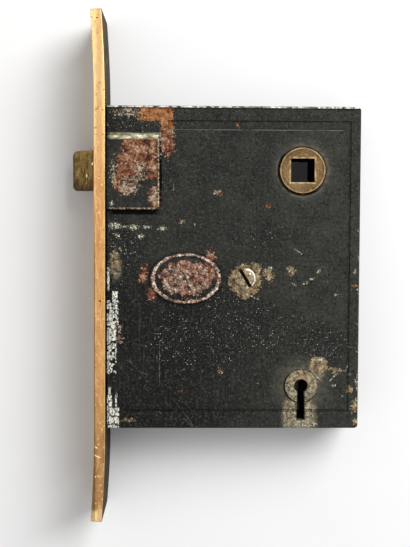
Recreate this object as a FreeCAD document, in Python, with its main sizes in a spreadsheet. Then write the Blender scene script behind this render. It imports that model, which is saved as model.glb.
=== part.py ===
import FreeCAD, Part
import math
import os
import types

import Sketcher

# Mortise door lock, lying on its back.
# +X runs from the face plate into the door, so the bolts are thrown along -X.
# +Y runs up the face plate and +Z comes out of the cap.
# All sizes are millimetres, and angles are degrees.
# Sketches count X from the face plate's front plane. The finished nodes are then
# placed half a plate's thickness forwards, so the origin is the plate's centre.
# "across" and "up" count from the keyhole's centre.

SIZES = {
    # face plate
    "plate_length": 139.7,
    "plate_width": 22.2,
    "plate_thick": 3.0,
    "plate_bow": 1.0,
    "plate_corner": 1.0,
    "mount_spacing": 117.5,
    "mount_hole": 4.8,
    "mount_sink": 8.2,
    # screws between plate and case
    "plate_screw_inset": 5.95,
    "plate_screw_shank": 3.4,
    "plate_screw_head": 6.4,
    "plate_screw_length": 9.0,
    # case
    "case_depth": 70.0,
    "case_height": 88.9,
    "case_thick": 15.9,
    "back_wall": 1.8,
    "side_wall": 2.0,
    "front_wall": 2.6,
    "case_corner": 1.0,
    "case_edge": 0.7,
    "lug_depth": 7.0,
    "lug_top_gap": 1.55,
    "lug_half_height": 3.95,
    # cap
    "cap_thick": 1.8,
    "cap_gap": 0.3,
    "cap_edge": 0.55,
    "lip_depth": 1.0,
    "lip_width": 1.6,
    "lip_gap": 0.25,
    "lip_start": 9.0,
    "rim_side": 2.7,
    "rim_top": 4.0,
    "rim_bottom": 4.65,
    "rim_groove": 0.7,
    "rim_trough": 2.4,
    "rim_depth": 0.25,
    "rim_start_top": 17.0,
    "rim_start_bottom": 5.0,
    "latch_pad_length": 14.6,
    "latch_pad_below": 10.9,
    "latch_pad_above": 9.4,
    "latch_pad_rise": 1.3,
    "latch_pad_slope": 1.0,
    "latch_pad_edge": 0.35,
    "latch_pad_wall": 1.6,
    "oval_x": 25.0,
    "oval_length": 20.0,
    "oval_height": 14.2,
    "oval_rise": 0.5,
    "oval_rim": 1.0,
    "oval_recess": 0.25,
    # cap screw and its post
    "cap_screw_across": -15.6,
    "cap_screw_y": -2.8,
    "cap_screw_head": 5.8,
    "cap_screw_shank": 3.4,
    "cap_screw_length": 10.0,
    "cap_screw_rise": 0.3,
    "cap_screw_slot": 0.8,
    "cap_screw_slot_depth": 0.7,
    "cap_screw_slot_angle": -57.0,
    "post_wall": 2.0,
    # hub
    "hub_from_rear": 16.0,
    "hub_from_top": 17.45,
    "hub_journal": 12.5,
    "hub_play": 0.2,
    "hub_proud": 0.1,
    "hub_flange": 14.8,
    "hub_square": 6.5,
    "lobe_base": 9.4,
    "lobe_relief": 0.15,
    "lobe_thick": 3.4,
    "lobe_width_angle": 15.0,
    "lobe_root_angle": 37.5,
    # latch bolt
    "latch_projection": 7.2,
    "latch_inside": 8.0,
    "latch_height": 11.2,
    "latch_thick": 12.4,
    "latch_axis": 0.6,
    "latch_nose": 1.6,
    "latch_round": 1.3,
    "shank_height": 4.0,
    "shank_thick": 2.6,
    "shank_seat": 5.7,
    "latch_rivet": 2.0,
    "fork_bar": 3.8,
    "fork_inner": 12.3,
    "fork_arm": 2.6,
    "fork_leg_reach": 8.0,
    "fork_leg": 3.0,
    "fork_front": 20.0,
    "fork_contact_gap": 0.08,
    "fork_corner": 1.2,
    "guide_across": -31.0,
    "guide_thick": 3.5,
    "guide_half_height": 6.5,
    "guide_top_gap": 1.3,
    "spring_radius": 3.1,
    "spring_wire": 0.9,
    "spring_pitch": 3.2,
    "washer_side": 8.4,
    "washer_thick": 0.6,
    # dead bolt
    "bolt_up": 10.2,
    "bolt_height": 18.0,
    "bolt_thick": 9.6,
    "bolt_length": 24.0,
    "bolt_throw": 9.5,
    "bolt_edge": 0.5,
    "tail_start": 16.0,
    "tail_rear_gap": 4.0,
    "tail_height": 10.0,
    "tail_above_key": 6.4,
    "tail_low": -4.4,
    "tail_thick": 2.6,
    "talon_width": 5.2,
    "talon_depth": 4.0,
    "bolt_rivet": 3.0,
    "bolt_rivet_x": 20.0,
    "guide_post_across": -21.0,
    "guide_post": 4.0,
    "guide_head": 6.4,
    "guide_head_thick": 1.8,
    "runner_x": 27.0,
    "runner_width": 3.0,
    "runner_boss": 8.0,
    "stump_across": -4.5,
    "stump_up": 14.2,
    "stump": 3.2,
    # key way
    "key_from_foot": 11.85,
    "key_round": 3.9,
    "key_slot_top": 2.1,
    "key_slot_foot": 2.4,
    "key_slot_reach": 9.5,
    "key_boss": 9.0,
    "key_boss_rise": 0.35,
    # levers
    "lever_x": 24.0,
    "lever_up": 24.4,
    "lever_thick": 1.9,
    "lever_spacing": 2.0,
    "lever_low": -1.4,
    "lever_boss": 4.6,
    "neck_low_up": 19.3,
    "neck_high_up": 23.6,
    "lever_shoulder_gap": 0.3,
    "lever_land_gap": 0.2,
    "land_end_across": -2.4,
    "lever_end_across": 5.4,
    "lever_end_up": 20.0,
    "lever_back_across": -9.4,
    "belly_lower": 7.2,
    "belly_middle": 6.7,
    "belly_upper": 7.6,
    "lever_post": 5.0,
    "post_shoulder": 7.4,
    "spigot": 3.0,
    "leaf_across": -11.0,
    "leaf_thick": 0.4,
    "leaf_depth": 2.0,
    "leaf_bend": 1.5,
    "leaf_slope": 6.0,
    "leaf_past_pin": 1.4,
    "stop_pin": 3.0,
    "stop_pin_across": 5.0,
    "stop_pin_up": 28.6,
    # clearances
    "slide_gap": 0.15,
    "side_gap": 0.3,
    "pin_gap": 0.04,
    "joint_gap": 0.05,
}

SPRING_STEPS_PER_TURN = 2
WIRE_SIDES = 8
WIRE_CLEARANCE = 0.4
INVOLUTE_POINTS = 7
OVERCUT = 1.0
SAME_PLACE = 0.01
ROLL_PAST = 0.01
SCREW_CROWN = 0.6
LEVER_THROAT = 0.45


def number_of(value):
    """Give the plain number of a length or of a number."""
    return value.number if isinstance(value, Length) else float(value)


def text_of(value):
    """Give the sheet expression of a length or of a number."""
    return value.text if isinstance(value, Length) else repr(float(value))


class Length:
    """A size, known both as a number and as the sheet expression that gives it."""

    def __init__(self, number, text):
        self.number = number
        self.text = text

    def __add__(self, other):
        return Length(self.number + number_of(other), f"({self.text} + {text_of(other)})")

    def __sub__(self, other):
        return Length(self.number - number_of(other), f"({self.text} - {text_of(other)})")

    def __mul__(self, other):
        return Length(self.number * number_of(other), f"({self.text} * {text_of(other)})")

    def __truediv__(self, other):
        return Length(self.number / number_of(other), f"({self.text} / {text_of(other)})")

    def __neg__(self):
        return self * -1

    def __radd__(self, other):
        return self + other

    def __rsub__(self, other):
        return self * -1 + other


def make_sheet(doc):
    """Write the driving sizes into a spreadsheet, one aliased cell each."""
    sheet = doc.addObject("Spreadsheet::Sheet", "Sizes")
    for row, (alias, number) in enumerate(SIZES.items(), start=1):
        sheet.set(f"A{row}", alias)
        sheet.set(f"B{row}", str(number))
        sheet.setAlias(f"B{row}", alias)
    doc.recompute()
    return types.SimpleNamespace(
        **{alias: Length(float(sheet.get(alias)), f"Sizes.{alias}") for alias in SIZES}
    )


DOC = FreeCAD.newDocument("door_lock")
S = make_sheet(DOC)
NODES = []

# Levels and faces that several pieces share.
CASE_FRONT = S.plate_thick
CASE_REAR = S.plate_thick + S.case_depth
CASE_HALF = S.case_height / 2
BACK = -(S.case_thick / 2)
FACE = S.case_thick / 2
FLOOR = BACK + S.back_wall
CAP_UNDER = FACE - S.cap_thick
WALL_REAR = CASE_REAR - S.side_wall
WALL_HALF = CASE_HALF - S.side_wall
WALL_FRONT = CASE_FRONT + S.front_wall
BACKSET = CASE_REAR - S.hub_from_rear
HUB_LEVEL = CASE_HALF - S.hub_from_top
KEY_LEVEL = S.key_from_foot - CASE_HALF
HUB = (BACKSET, HUB_LEVEL)
KEY = (BACKSET, KEY_LEVEL)
SCREW = (BACKSET + S.cap_screw_across, S.cap_screw_y)
PLATE_SCREW = CASE_HALF - S.plate_screw_inset
GUIDE = BACKSET + S.guide_across
LEVER_PIVOT = (S.lever_x, KEY_LEVEL + S.lever_up)
NECK_LOW = KEY_LEVEL + S.neck_low_up
NECK_HIGH = KEY_LEVEL + S.neck_high_up
STOP_PIN = (BACKSET + S.stop_pin_across, KEY_LEVEL + S.stop_pin_up)
LATCH_LOW = S.latch_axis - S.latch_thick / 2
LATCH_HIGH = S.latch_axis + S.latch_thick / 2
SHANK_LOW = S.latch_axis - S.shank_thick / 2
TAIL_HIGH = S.tail_low + S.tail_thick
TAIL_FOOT = KEY_LEVEL + S.tail_above_key
TAIL_CREST = TAIL_FOOT + S.tail_height
TAIL_END = WALL_REAR - S.tail_rear_gap
BOLT_LEVEL = KEY_LEVEL + S.bolt_up
TAIL_MIDDLE = TAIL_FOOT + S.tail_height / 2
BOLT_RIVET = (S.bolt_rivet_x, TAIL_MIDDLE)
GUIDE_POST = (BACKSET + S.guide_post_across, TAIL_MIDDLE)
STUMP = (BACKSET + S.stump_across, KEY_LEVEL + S.stump_up)
LEVERS_TOP = S.lever_low + S.lever_spacing * 2 + S.lever_thick
LUG_TOP = CAP_UNDER - S.lug_top_gap


def bind(thing, path, length):
    """Tie one property of an object to the sheet."""
    thing.setExpression(path, text_of(length))


def point(x, y):
    """Make a flat sketch point from two lengths or numbers."""
    return FreeCAD.Vector(number_of(x), number_of(y), 0)


class Piece:
    """One rigid sub-part: a body that grows by sketches, pads, pockets and fillets."""

    def __init__(self, name, exported=True):
        self.body = DOC.addObject("PartDesign::Body", name)
        self.body.Label = name
        self.steps = 0
        if exported:
            NODES.append(self.body)

    def step_name(self, kind):
        """Name the next feature after the piece, so that the tree can be read."""
        self.steps += 1
        return f"{self.body.Name}_{kind}_{self.steps}"

    def plane(self, role):
        """Find one of the body's own origin planes or axes."""
        return next(f for f in self.body.Origin.OriginFeatures if f.Role == role)

    def sketch(self, role, level):
        """Start a sketch on an origin plane, moved along the plane's normal to a level."""
        sketch = self.body.newObject("Sketcher::SketchObject", self.step_name("sketch"))
        sketch.AttachmentSupport = [(self.plane(role), "")]
        sketch.MapMode = "FlatFace"
        bind(sketch, "AttachmentOffset.Base.z", level)
        return sketch

    def pad(self, sketch, length, midplane=False, inward=False):
        """Add material along the sketch's normal, about it, or against it."""
        feature = self.body.newObject("PartDesign::Pad", self.step_name("pad"))
        feature.Profile = sketch
        feature.Midplane = midplane
        feature.Reversed = inward
        bind(feature, "Length", length)
        return self.finish(feature, grows=True)

    def pocket(self, sketch, length):
        """Cut against the sketch's normal, to a depth."""
        feature = self.body.newObject("PartDesign::Pocket", self.step_name("pocket"))
        feature.Profile = sketch
        bind(feature, "Length", length)
        return self.finish(feature, grows=False)

    def turned(self, sketch, kind, grows):
        """Turn a profile a full circle about the sketch's own construction line."""
        feature = self.body.newObject(f"PartDesign::{kind}", self.step_name(kind.lower()))
        feature.Profile = sketch
        feature.ReferenceAxis = (sketch, ["Axis0"])
        feature.Angle = 360
        return self.finish(feature, grows)

    def mirrored(self, feature):
        """Repeat a feature on the other side of the lock's mid height."""
        grows = feature.TypeId in ("PartDesign::Pad", "PartDesign::Revolution")
        volume = self.body.Shape.Volume
        mirror = self.body.newObject("PartDesign::Mirrored", self.step_name("mirror"))
        mirror.Originals = [feature]
        mirror.MirrorPlane = (self.plane("XZ_Plane"), [""])
        self.body.Tip = mirror
        return self.finish(mirror, grows, volume)

    def edges(self, chosen):
        """Name the edges of the piece so far that a test picks by their two ends."""
        names = []
        for index, edge in enumerate(self.body.Shape.Edges, start=1):
            if chosen(edge.BoundBox):
                names.append(f"Edge{index}")
        return names

    def rounded(self, radius, chosen, kind="Fillet"):
        """Round or chamfer the edges that a test picks."""
        base = self.body.Tip
        names = self.edges(chosen)
        feature = self.body.newObject(f"PartDesign::{kind}", self.step_name(kind.lower()))
        feature.Base = (base, names)
        bind(feature, "Radius" if kind == "Fillet" else "Size", radius)
        return self.finish(feature)

    def finish(self, feature, grows=None, volume=None):
        """Recompute the piece and check that a pad adds and a pocket removes."""
        before = volume if volume is not None else getattr(self, "volume", 0.0)
        DOC.recompute()
        self.volume = self.body.Shape.Volume
        if grows is not None and (self.volume > before) != grows:
            raise RuntimeError(f"{feature.Name} has changed nothing")
        return feature


def draw_polygon(sketch, points):
    """Draw a closed outline whose corners are all bound to the sheet."""
    corners = [point(x, y) for x, y in points]
    count = len(corners)
    first = sketch.GeometryCount
    for index in range(count):
        line = Part.LineSegment(corners[index], corners[(index + 1) % count])
        sketch.addGeometry(line, False)
    for index in range(count):
        following = first + (index + 1) % count
        sketch.addConstraint(Sketcher.Constraint("Coincident", first + index, 2, following, 1))
    for index, (x, y) in enumerate(points):
        bind_point(sketch, first + index, 1, x, y)


def bind_point(sketch, geometry, end, x, y):
    """Tie one point of a sketch to the sheet, across and up from the sketch's origin."""
    for kind, length in (("DistanceX", x), ("DistanceY", y)):
        constraint = Sketcher.Constraint(kind, -1, 1, geometry, end, number_of(length))
        index = sketch.addConstraint(constraint)
        bind(sketch, f"Constraints[{index}]", length)


def draw_rectangle(sketch, left, right, low, high):
    """Draw a rectangle from its four bound sides."""
    draw_polygon(sketch, [(left, low), (right, low), (right, high), (left, high)])


def draw_circle(sketch, centre, diameter):
    """Draw a circle with a bound centre and diameter."""
    radius = diameter / 2
    circle = Part.Circle(point(*centre), FreeCAD.Vector(0, 0, 1), radius.number)
    geometry = sketch.addGeometry(circle, False)
    bind_point(sketch, geometry, 3, *centre)
    index = sketch.addConstraint(Sketcher.Constraint("Radius", geometry, radius.number))
    bind(sketch, f"Constraints[{index}]", radius)


def draw_curves(sketch, curves):
    """Draw a closed outline of worked-out lines, arcs and curves, each held in place."""
    for curve in curves:
        geometry = sketch.addGeometry(curve, False)
        sketch.addConstraint(Sketcher.Constraint("Block", geometry))


def line(start, end):
    """Make one straight run of an outline from two (x, y) pairs."""
    return Part.LineSegment(point(*start), point(*end))


def arc(start, middle, end):
    """Make one round run of an outline through three (x, y) pairs."""
    return Part.Arc(point(*start), point(*middle), point(*end))


def around(centre, radius, angle):
    """Give the (x, y) pair at an angle in degrees round a centre."""
    turn = math.radians(angle)
    return (
        number_of(centre[0]) + number_of(radius) * math.cos(turn),
        number_of(centre[1]) + number_of(radius) * math.sin(turn),
    )


def draw_turning_profile(sketch, axis_line, points):
    """Draw a turning axis as Axis0 and a bound profile beside it."""
    start, end = axis_line
    geometry = sketch.addGeometry(Part.LineSegment(point(*start), point(*end)), True)
    bind_point(sketch, geometry, 1, *start)
    bind_point(sketch, geometry, 2, *end)
    draw_polygon(sketch, points)


def cylinder(piece, centre, diameter, low, height):
    """Add a round boss, shaft or disc that stands along Z."""
    sketch = piece.sketch("XY_Plane", low)
    draw_circle(sketch, centre, diameter)
    return piece.pad(sketch, height)


def drilled(piece, centre, diameter, top, depth):
    """Cut a round hole downwards from a level."""
    sketch = piece.sketch("XY_Plane", top)
    draw_circle(sketch, centre, diameter)
    return piece.pocket(sketch, depth)


def block(piece, left, right, low, high, base, height):
    """Add a rectangular block that stands along Z."""
    sketch = piece.sketch("XY_Plane", base)
    draw_rectangle(sketch, left, right, low, high)
    return piece.pad(sketch, height)


def milled(piece, left, right, low, high, top, depth):
    """Cut a rectangular pocket downwards from a level."""
    sketch = piece.sketch("XY_Plane", top)
    draw_rectangle(sketch, left, right, low, high)
    return piece.pocket(sketch, depth)


def keyhole_curves():
    """Give the keyhole's outline: a round with a slightly flared slot below it."""
    x, y = KEY[0].number, KEY[1].number
    radius = S.key_round.number / 2
    top = S.key_slot_top.number / 2
    foot = S.key_slot_foot.number / 2
    shoulder = y - math.sqrt(radius**2 - top**2)
    bottom = y - S.key_slot_reach.number
    return [
        arc((x + top, shoulder), (x, y + radius), (x - top, shoulder)),
        line((x - top, shoulder), (x - foot, bottom)),
        line((x - foot, bottom), (x + foot, bottom)),
        line((x + foot, bottom), (x + top, shoulder)),
    ]


def cut_keyhole(piece, top, depth):
    """Cut the keyhole downwards from a level."""
    sketch = piece.sketch("XY_Plane", top)
    draw_curves(sketch, keyhole_curves())
    return piece.pocket(sketch, depth)


def same(place, other):
    """Tell whether two places along one axis are the same."""
    return abs(place - number_of(other)) < SAME_PLACE


def flat_at(box, level):
    """Tell whether an edge lies in the plane at one Z level."""
    return same(box.ZMin, level) and same(box.ZMax, level)


def upright(box):
    """Tell whether an edge runs straight along Z."""
    return box.XLength < SAME_PLACE and box.YLength < SAME_PLACE and box.ZLength > 0.1


def make_face_plate():
    """Face plate: flat behind the case, its two free ends bowed a little forward."""
    piece = Piece("face_plate")
    thick, bow = S.plate_thick.number, S.plate_bow.number
    flat = CASE_HALF.number
    free = S.plate_length.number / 2 - flat
    radius = (free**2 + bow**2) / (2 * bow)
    sweep = math.degrees(math.asin(free / radius))
    upper, lower = (-radius, flat), (-radius, -flat)
    outline = [
        line((0, -flat), (0, flat)),
        arc((0, flat), around(upper, radius, sweep / 2), around(upper, radius, sweep)),
        line(around(upper, radius, sweep), around(upper, radius + thick, sweep)),
        arc(
            around(upper, radius + thick, sweep),
            around(upper, radius + thick, sweep / 2),
            (thick, flat),
        ),
        line((thick, flat), (thick, -flat)),
        arc(
            (thick, -flat),
            around(lower, radius + thick, -sweep / 2),
            around(lower, radius + thick, -sweep),
        ),
        line(around(lower, radius + thick, -sweep), around(lower, radius, -sweep)),
        arc(around(lower, radius, -sweep), around(lower, radius, -sweep / 2), (0, -flat)),
    ]
    sketch = piece.sketch("XY_Plane", 0)
    draw_curves(sketch, outline)
    piece.pad(sketch, S.plate_width, midplane=True)
    ends = S.plate_length.number / 2 - S.plate_corner.number
    piece.rounded(
        S.plate_corner,
        lambda box: box.ZLength < SAME_PLACE < box.XLength and abs(box.Center.y) > ends,
    )
    reach = (S.mount_spacing / 2 - CASE_HALF) / (S.plate_length / 2 - CASE_HALF)
    bowed = -S.plate_bow * reach * reach
    piece.mirrored(countersink(piece, S.mount_spacing / 2, S.mount_hole, S.mount_sink, bowed))
    hole = S.plate_screw_shank + S.slide_gap
    head = S.plate_screw_head + S.slide_gap
    piece.mirrored(countersink(piece, PLATE_SCREW, hole, head, 0))
    cut_bolt_windows(piece, S.plate_thick, S.plate_thick + OVERCUT)


def countersink(piece, level, hole, head, front):
    """Cut a countersunk hole along X at one height, its cone opening at the front."""
    hole_radius, head_radius = hole / 2, head / 2
    cone = head_radius - hole_radius
    sketch = piece.sketch("XY_Plane", 0)
    reach = S.plate_thick + OVERCUT
    entry = front - OVERCUT
    draw_turning_profile(
        sketch,
        ((entry, level), (reach, level)),
        [
            (entry, level),
            (reach, level),
            (reach, level + hole_radius),
            (front + cone, level + hole_radius),
            (front, level + head_radius),
            (entry, level + head_radius),
        ],
    )
    return piece.turned(sketch, "Groove", grows=False)


def cut_bolt_windows(piece, rear, depth):
    """Cut the openings that both bolts slide in, from a rear plane forwards."""
    sketch = piece.sketch("YZ_Plane", rear)
    gap = S.slide_gap
    draw_rectangle(
        sketch,
        HUB_LEVEL - S.latch_height / 2 - gap,
        HUB_LEVEL + S.latch_height / 2 + gap,
        LATCH_LOW - gap,
        LATCH_HIGH + gap,
    )
    draw_rectangle(
        sketch,
        BOLT_LEVEL - S.bolt_height / 2 - gap,
        BOLT_LEVEL + S.bolt_height / 2 + gap,
        -(S.bolt_thick / 2) - gap,
        S.bolt_thick / 2 + gap,
    )
    return piece.pocket(sketch, depth)


def make_plate_screws():
    """Two countersunk machine screws that hold the face plate to the case."""
    screw = Piece("plate_screw", exported=False)
    level = PLATE_SCREW
    head, shank = S.plate_screw_head / 2, S.plate_screw_shank / 2
    tip = S.plate_screw_length
    sketch = screw.sketch("XY_Plane", 0)
    draw_turning_profile(
        sketch,
        ((0, level), (tip, level)),
        [
            (0, level),
            (tip, level),
            (tip, level + shank),
            (head - shank, level + shank),
            (0, level + head),
        ],
    )
    screw.turned(sketch, "Revolution", grows=True)
    slot = screw.sketch("YZ_Plane", S.cap_screw_slot_depth)
    half_slot = S.cap_screw_slot / 2
    draw_rectangle(slot, level - half_slot, level + half_slot, -head * 2, head * 2)
    screw.pocket(slot, S.cap_screw_slot_depth * 2)
    lower = DOC.addObject("Part::Mirroring", "plate_screw_lower")
    lower.Source = screw.body
    lower.Normal = FreeCAD.Vector(0, 1, 0)
    group_nodes("plate_screws", [screw.body, lower])


def group_nodes(name, members):
    """Keep identical small pieces together in one node, as separate solids."""
    group = DOC.addObject("Part::Compound", name)
    group.Links = members
    group.Label = name
    NODES.append(group)


def make_lock_case():
    """Cast case: a tray with lugs, posts, a latch guide and runners for the dead bolt."""
    piece = Piece("lock_case")
    block(piece, CASE_FRONT, CASE_REAR, -CASE_HALF, CASE_HALF, BACK, CAP_UNDER - BACK)
    front = CASE_FRONT.number
    piece.rounded(S.case_corner, lambda box: upright(box) and same(box.Center.x, CASE_REAR))
    piece.rounded(
        S.case_edge, lambda box: flat_at(box, BACK) and box.XMax > front + SAME_PLACE
    )
    milled(
        piece, WALL_FRONT, WALL_REAR, -WALL_HALF, WALL_HALF, CAP_UNDER, CAP_UNDER - FLOOR
    )
    add_lugs(piece)
    post = S.cap_screw_shank + S.post_wall * 2
    cylinder(piece, SCREW, post, FLOOR, CAP_UNDER - FLOOR)
    add_latch_guide(piece)
    runner_height = S.tail_low - S.side_gap - FLOOR
    block(
        piece,
        S.runner_x,
        S.runner_x + S.runner_width,
        TAIL_FOOT,
        TAIL_CREST,
        FLOOR,
        runner_height,
    )
    cylinder(piece, GUIDE_POST, S.runner_boss, FLOOR, runner_height)
    cut_bolt_windows(piece, WALL_FRONT + OVERCUT, S.front_wall + OVERCUT * 2)
    journal_hole = S.hub_journal + S.hub_play * 2
    drilled(piece, HUB, journal_hole, FLOOR + OVERCUT, S.back_wall + OVERCUT * 2)
    cut_keyhole(piece, FLOOR, S.back_wall + OVERCUT)
    spigot_hole = S.spigot + S.pin_gap
    for place in (LEVER_PIVOT, GUIDE_POST, STOP_PIN):
        drilled(piece, place, spigot_hole, FLOOR + runner_height, S.back_wall + runner_height + OVERCUT)
    screw_hole = S.cap_screw_shank + S.pin_gap
    drilled(piece, SCREW, screw_hole, CAP_UNDER, S.cap_screw_length)


def add_lugs(piece):
    """Add the two tapped lugs that the plate screws bite in, mirrored about mid height."""
    level = PLATE_SCREW
    lug = block(
        piece,
        WALL_FRONT,
        WALL_FRONT + S.lug_depth - S.front_wall,
        level - S.lug_half_height,
        WALL_HALF,
        FLOOR,
        LUG_TOP - FLOOR,
    )
    piece.mirrored(lug)
    sketch = piece.sketch("YZ_Plane", CASE_FRONT + S.lug_depth)
    draw_circle(sketch, (level, 0), S.plate_screw_shank + S.pin_gap)
    hole = piece.pocket(sketch, S.lug_depth + OVERCUT)
    piece.mirrored(hole)


def add_latch_guide(piece):
    """Add the forked lug that the latch shank runs in and the latch spring pushes on."""
    slot = S.shank_height / 2 + S.side_gap
    top = CAP_UNDER - S.guide_top_gap
    right = GUIDE + S.guide_thick
    sketch = piece.sketch("XY_Plane", FLOOR)
    reach = S.guide_half_height
    draw_rectangle(sketch, GUIDE, right, HUB_LEVEL + slot, HUB_LEVEL + reach)
    draw_rectangle(sketch, GUIDE, right, HUB_LEVEL - reach, HUB_LEVEL - slot)
    piece.pad(sketch, top - FLOOR)


def make_case_cap():
    """Cap: a cast cover with a rim groove, a raised latch pad and a keyhole boss."""
    piece = Piece("case_cap")
    front = CASE_FRONT + S.cap_gap
    block(piece, front, CASE_REAR, -CASE_HALF, CASE_HALF, CAP_UNDER, S.cap_thick)
    piece.rounded(S.case_corner, lambda box: upright(box) and same(box.Center.x, CASE_REAR))
    piece.rounded(
        S.cap_edge, lambda box: flat_at(box, FACE) and box.XMax > front.number + SAME_PLACE
    )
    add_cap_lip(piece)
    add_latch_pad(piece, front)
    cut_rim_groove(piece)
    cylinder(piece, KEY, S.key_boss, FACE - S.rim_depth, S.rim_depth + S.key_boss_rise)
    add_oval(piece)
    drilled(piece, HUB, S.hub_journal + S.hub_play * 2, FACE + OVERCUT, S.cap_thick + OVERCUT * 2)
    cut_keyhole(piece, FACE + OVERCUT, S.cap_thick + S.lip_depth + OVERCUT * 2)
    cut_cap_screw_seat(piece)


def add_cap_lip(piece):
    """Add the lip under the cap that locates it inside three walls of the case."""
    outer_x = WALL_REAR - S.lip_gap
    outer_y = WALL_HALF - S.lip_gap
    inner_x = outer_x - S.lip_width
    inner_y = outer_y - S.lip_width
    start = CASE_FRONT + S.lip_start
    sketch = piece.sketch("XY_Plane", CAP_UNDER)
    draw_polygon(
        sketch,
        [
            (start, -outer_y),
            (outer_x, -outer_y),
            (outer_x, outer_y),
            (start, outer_y),
            (start, inner_y),
            (inner_x, inner_y),
            (inner_x, -inner_y),
            (start, -inner_y),
        ],
    )
    piece.pad(sketch, S.lip_depth, inward=True)


def add_latch_pad(piece, front):
    """Add the raised pad that gives the thick latch head room, hollow underneath."""
    right = CASE_FRONT + S.latch_pad_length
    top = FACE + S.latch_pad_rise
    low = HUB_LEVEL - S.latch_pad_below
    high = HUB_LEVEL + S.latch_pad_above
    block(piece, front, right, low, high, FACE, S.latch_pad_rise)
    piece.rounded(
        S.latch_pad_slope,
        lambda box: flat_at(box, top) and box.YLength < SAME_PLACE and same(box.YMax, high),
        kind="Chamfer",
    )
    piece.rounded(
        S.latch_pad_edge,
        lambda box: flat_at(box, top) and (same(box.XMin, right) or same(box.YMax, low)),
    )
    gap = S.side_gap
    milled(
        piece,
        front - OVERCUT,
        right - S.latch_pad_wall,
        HUB_LEVEL - S.latch_height / 2 - gap,
        HUB_LEVEL + S.latch_height / 2 + gap,
        top - S.latch_pad_wall,
        top - S.latch_pad_wall - CAP_UNDER + OVERCUT,
    )


def cut_rim_groove(piece):
    """Cut the shallow frame line: a trough along the top, thin grooves at right and foot."""
    right = CASE_REAR - S.rim_side
    high = CASE_HALF - S.rim_top
    low = -CASE_HALF + S.rim_bottom
    top_start = CASE_FRONT + S.rim_start_top
    foot_start = CASE_FRONT + S.rim_start_bottom
    sketch = piece.sketch("XY_Plane", FACE)
    draw_polygon(
        sketch,
        [
            (top_start, high - S.rim_trough),
            (right - S.rim_groove, high - S.rim_trough),
            (right - S.rim_groove, low + S.rim_groove),
            (foot_start, low + S.rim_groove),
            (foot_start, low),
            (right, low),
            (right, high),
            (top_start, high),
        ],
    )
    piece.pocket(sketch, S.rim_depth)


def add_oval(piece):
    """Add the plain oval medallion: a raised oval with a thin rim and no device."""
    centre = point(S.oval_x, S.cap_screw_y)
    for shrink, level, height in (
        (0, FACE, S.oval_rise),
        (S.oval_rim, FACE + S.oval_rise, S.oval_recess),
    ):
        half_length = (S.oval_length / 2 - shrink).number
        half_height = (S.oval_height / 2 - shrink).number
        sketch = piece.sketch("XY_Plane", level)
        sketch.addGeometry(Part.Ellipse(centre, half_length, half_height), False)
        if shrink == 0:
            piece.pad(sketch, height)
        else:
            piece.pocket(sketch, height)


def cut_cap_screw_seat(piece):
    """Cut the countersunk hole for the cap screw."""
    hole = S.cap_screw_shank / 2 + S.pin_gap
    head = S.cap_screw_head / 2 + S.pin_gap
    x = SCREW[0]
    sketch = piece.sketch("XZ_Plane", -S.cap_screw_y)
    above = FACE + OVERCUT
    below = CAP_UNDER - OVERCUT
    draw_turning_profile(
        sketch,
        ((x, below), (x, above)),
        [
            (x, below),
            (x + hole, below),
            (x + hole, FACE - head + hole),
            (x + head, FACE),
            (x + head, above),
            (x, above),
        ],
    )
    piece.turned(sketch, "Groove", grows=False)


def make_cap_screw():
    """Oval-headed cap screw with one cut slot."""
    piece = Piece("cap_screw")
    x = SCREW[0]
    head, shank = S.cap_screw_head / 2, S.cap_screw_shank / 2
    top = FACE + S.cap_screw_rise
    tip = FACE - S.cap_screw_length
    sketch = piece.sketch("XZ_Plane", -S.cap_screw_y)
    draw_turning_profile(
        sketch,
        ((x, tip), (x, top)),
        [
            (x, tip),
            (x + shank, tip),
            (x + shank, FACE - head + shank),
            (x + head, FACE),
            (x + head * SCREW_CROWN, top),
            (x, top),
        ],
    )
    piece.turned(sketch, "Revolution", grows=True)
    along = math.radians(S.cap_screw_slot_angle.number)
    reach, half = S.cap_screw_head.number, S.cap_screw_slot.number / 2
    corners = []
    for u, v in ((-reach, -half), (reach, -half), (reach, half), (-reach, half)):
        corners.append(
            (
                SCREW[0].number + u * math.cos(along) - v * math.sin(along),
                SCREW[1].number + u * math.sin(along) + v * math.cos(along),
            )
        )
    slot = piece.sketch("XY_Plane", top)
    draw_curves(slot, [line(corners[i], corners[(i + 1) % 4]) for i in range(4)])
    piece.pocket(slot, S.cap_screw_slot_depth)


def involute_point(roll, side):
    """Give a point of the lobe's flank, after a roll in radians, from the hub's centre."""
    base = S.lobe_base.number
    x = base * (roll * math.cos(roll) - math.sin(roll))
    y = base * (roll * math.sin(roll) + math.cos(roll))
    return HUB[0].number + x, HUB[1].number + side * y


def lobe_curves(side):
    """Give one lobe's outline: relief, involute flank, round tip and back."""
    last_roll = S.latch_projection.number / S.lobe_base.number + ROLL_PAST
    rolls = [last_roll * index / (INVOLUTE_POINTS - 1) for index in range(INVOLUTE_POINTS)]
    flank = [involute_point(roll, side) for roll in rolls]
    tip_radius = math.hypot(flank[-1][0] - HUB[0].number, flank[-1][1] - HUB[1].number)
    tip_angle = math.degrees(math.atan2(flank[-1][1] - HUB[1].number, flank[-1][0] - HUB[0].number))
    width = side * S.lobe_width_angle.number
    root = S.hub_journal.number / 2
    inner = (HUB[0].number - S.lobe_relief.number, HUB[1].number + side * root)
    back = around(HUB, root, side * (90 + S.lobe_root_angle.number))
    tip_end = around(HUB, tip_radius, tip_angle + width)
    curve = Part.BSplineCurve()
    curve.interpolate([point(*place) for place in flank])
    return [
        line(inner, flank[0]),
        curve,
        arc(flank[-1], around(HUB, tip_radius, tip_angle + width / 2), tip_end),
        line(tip_end, back),
        line(back, inner),
    ]


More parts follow.
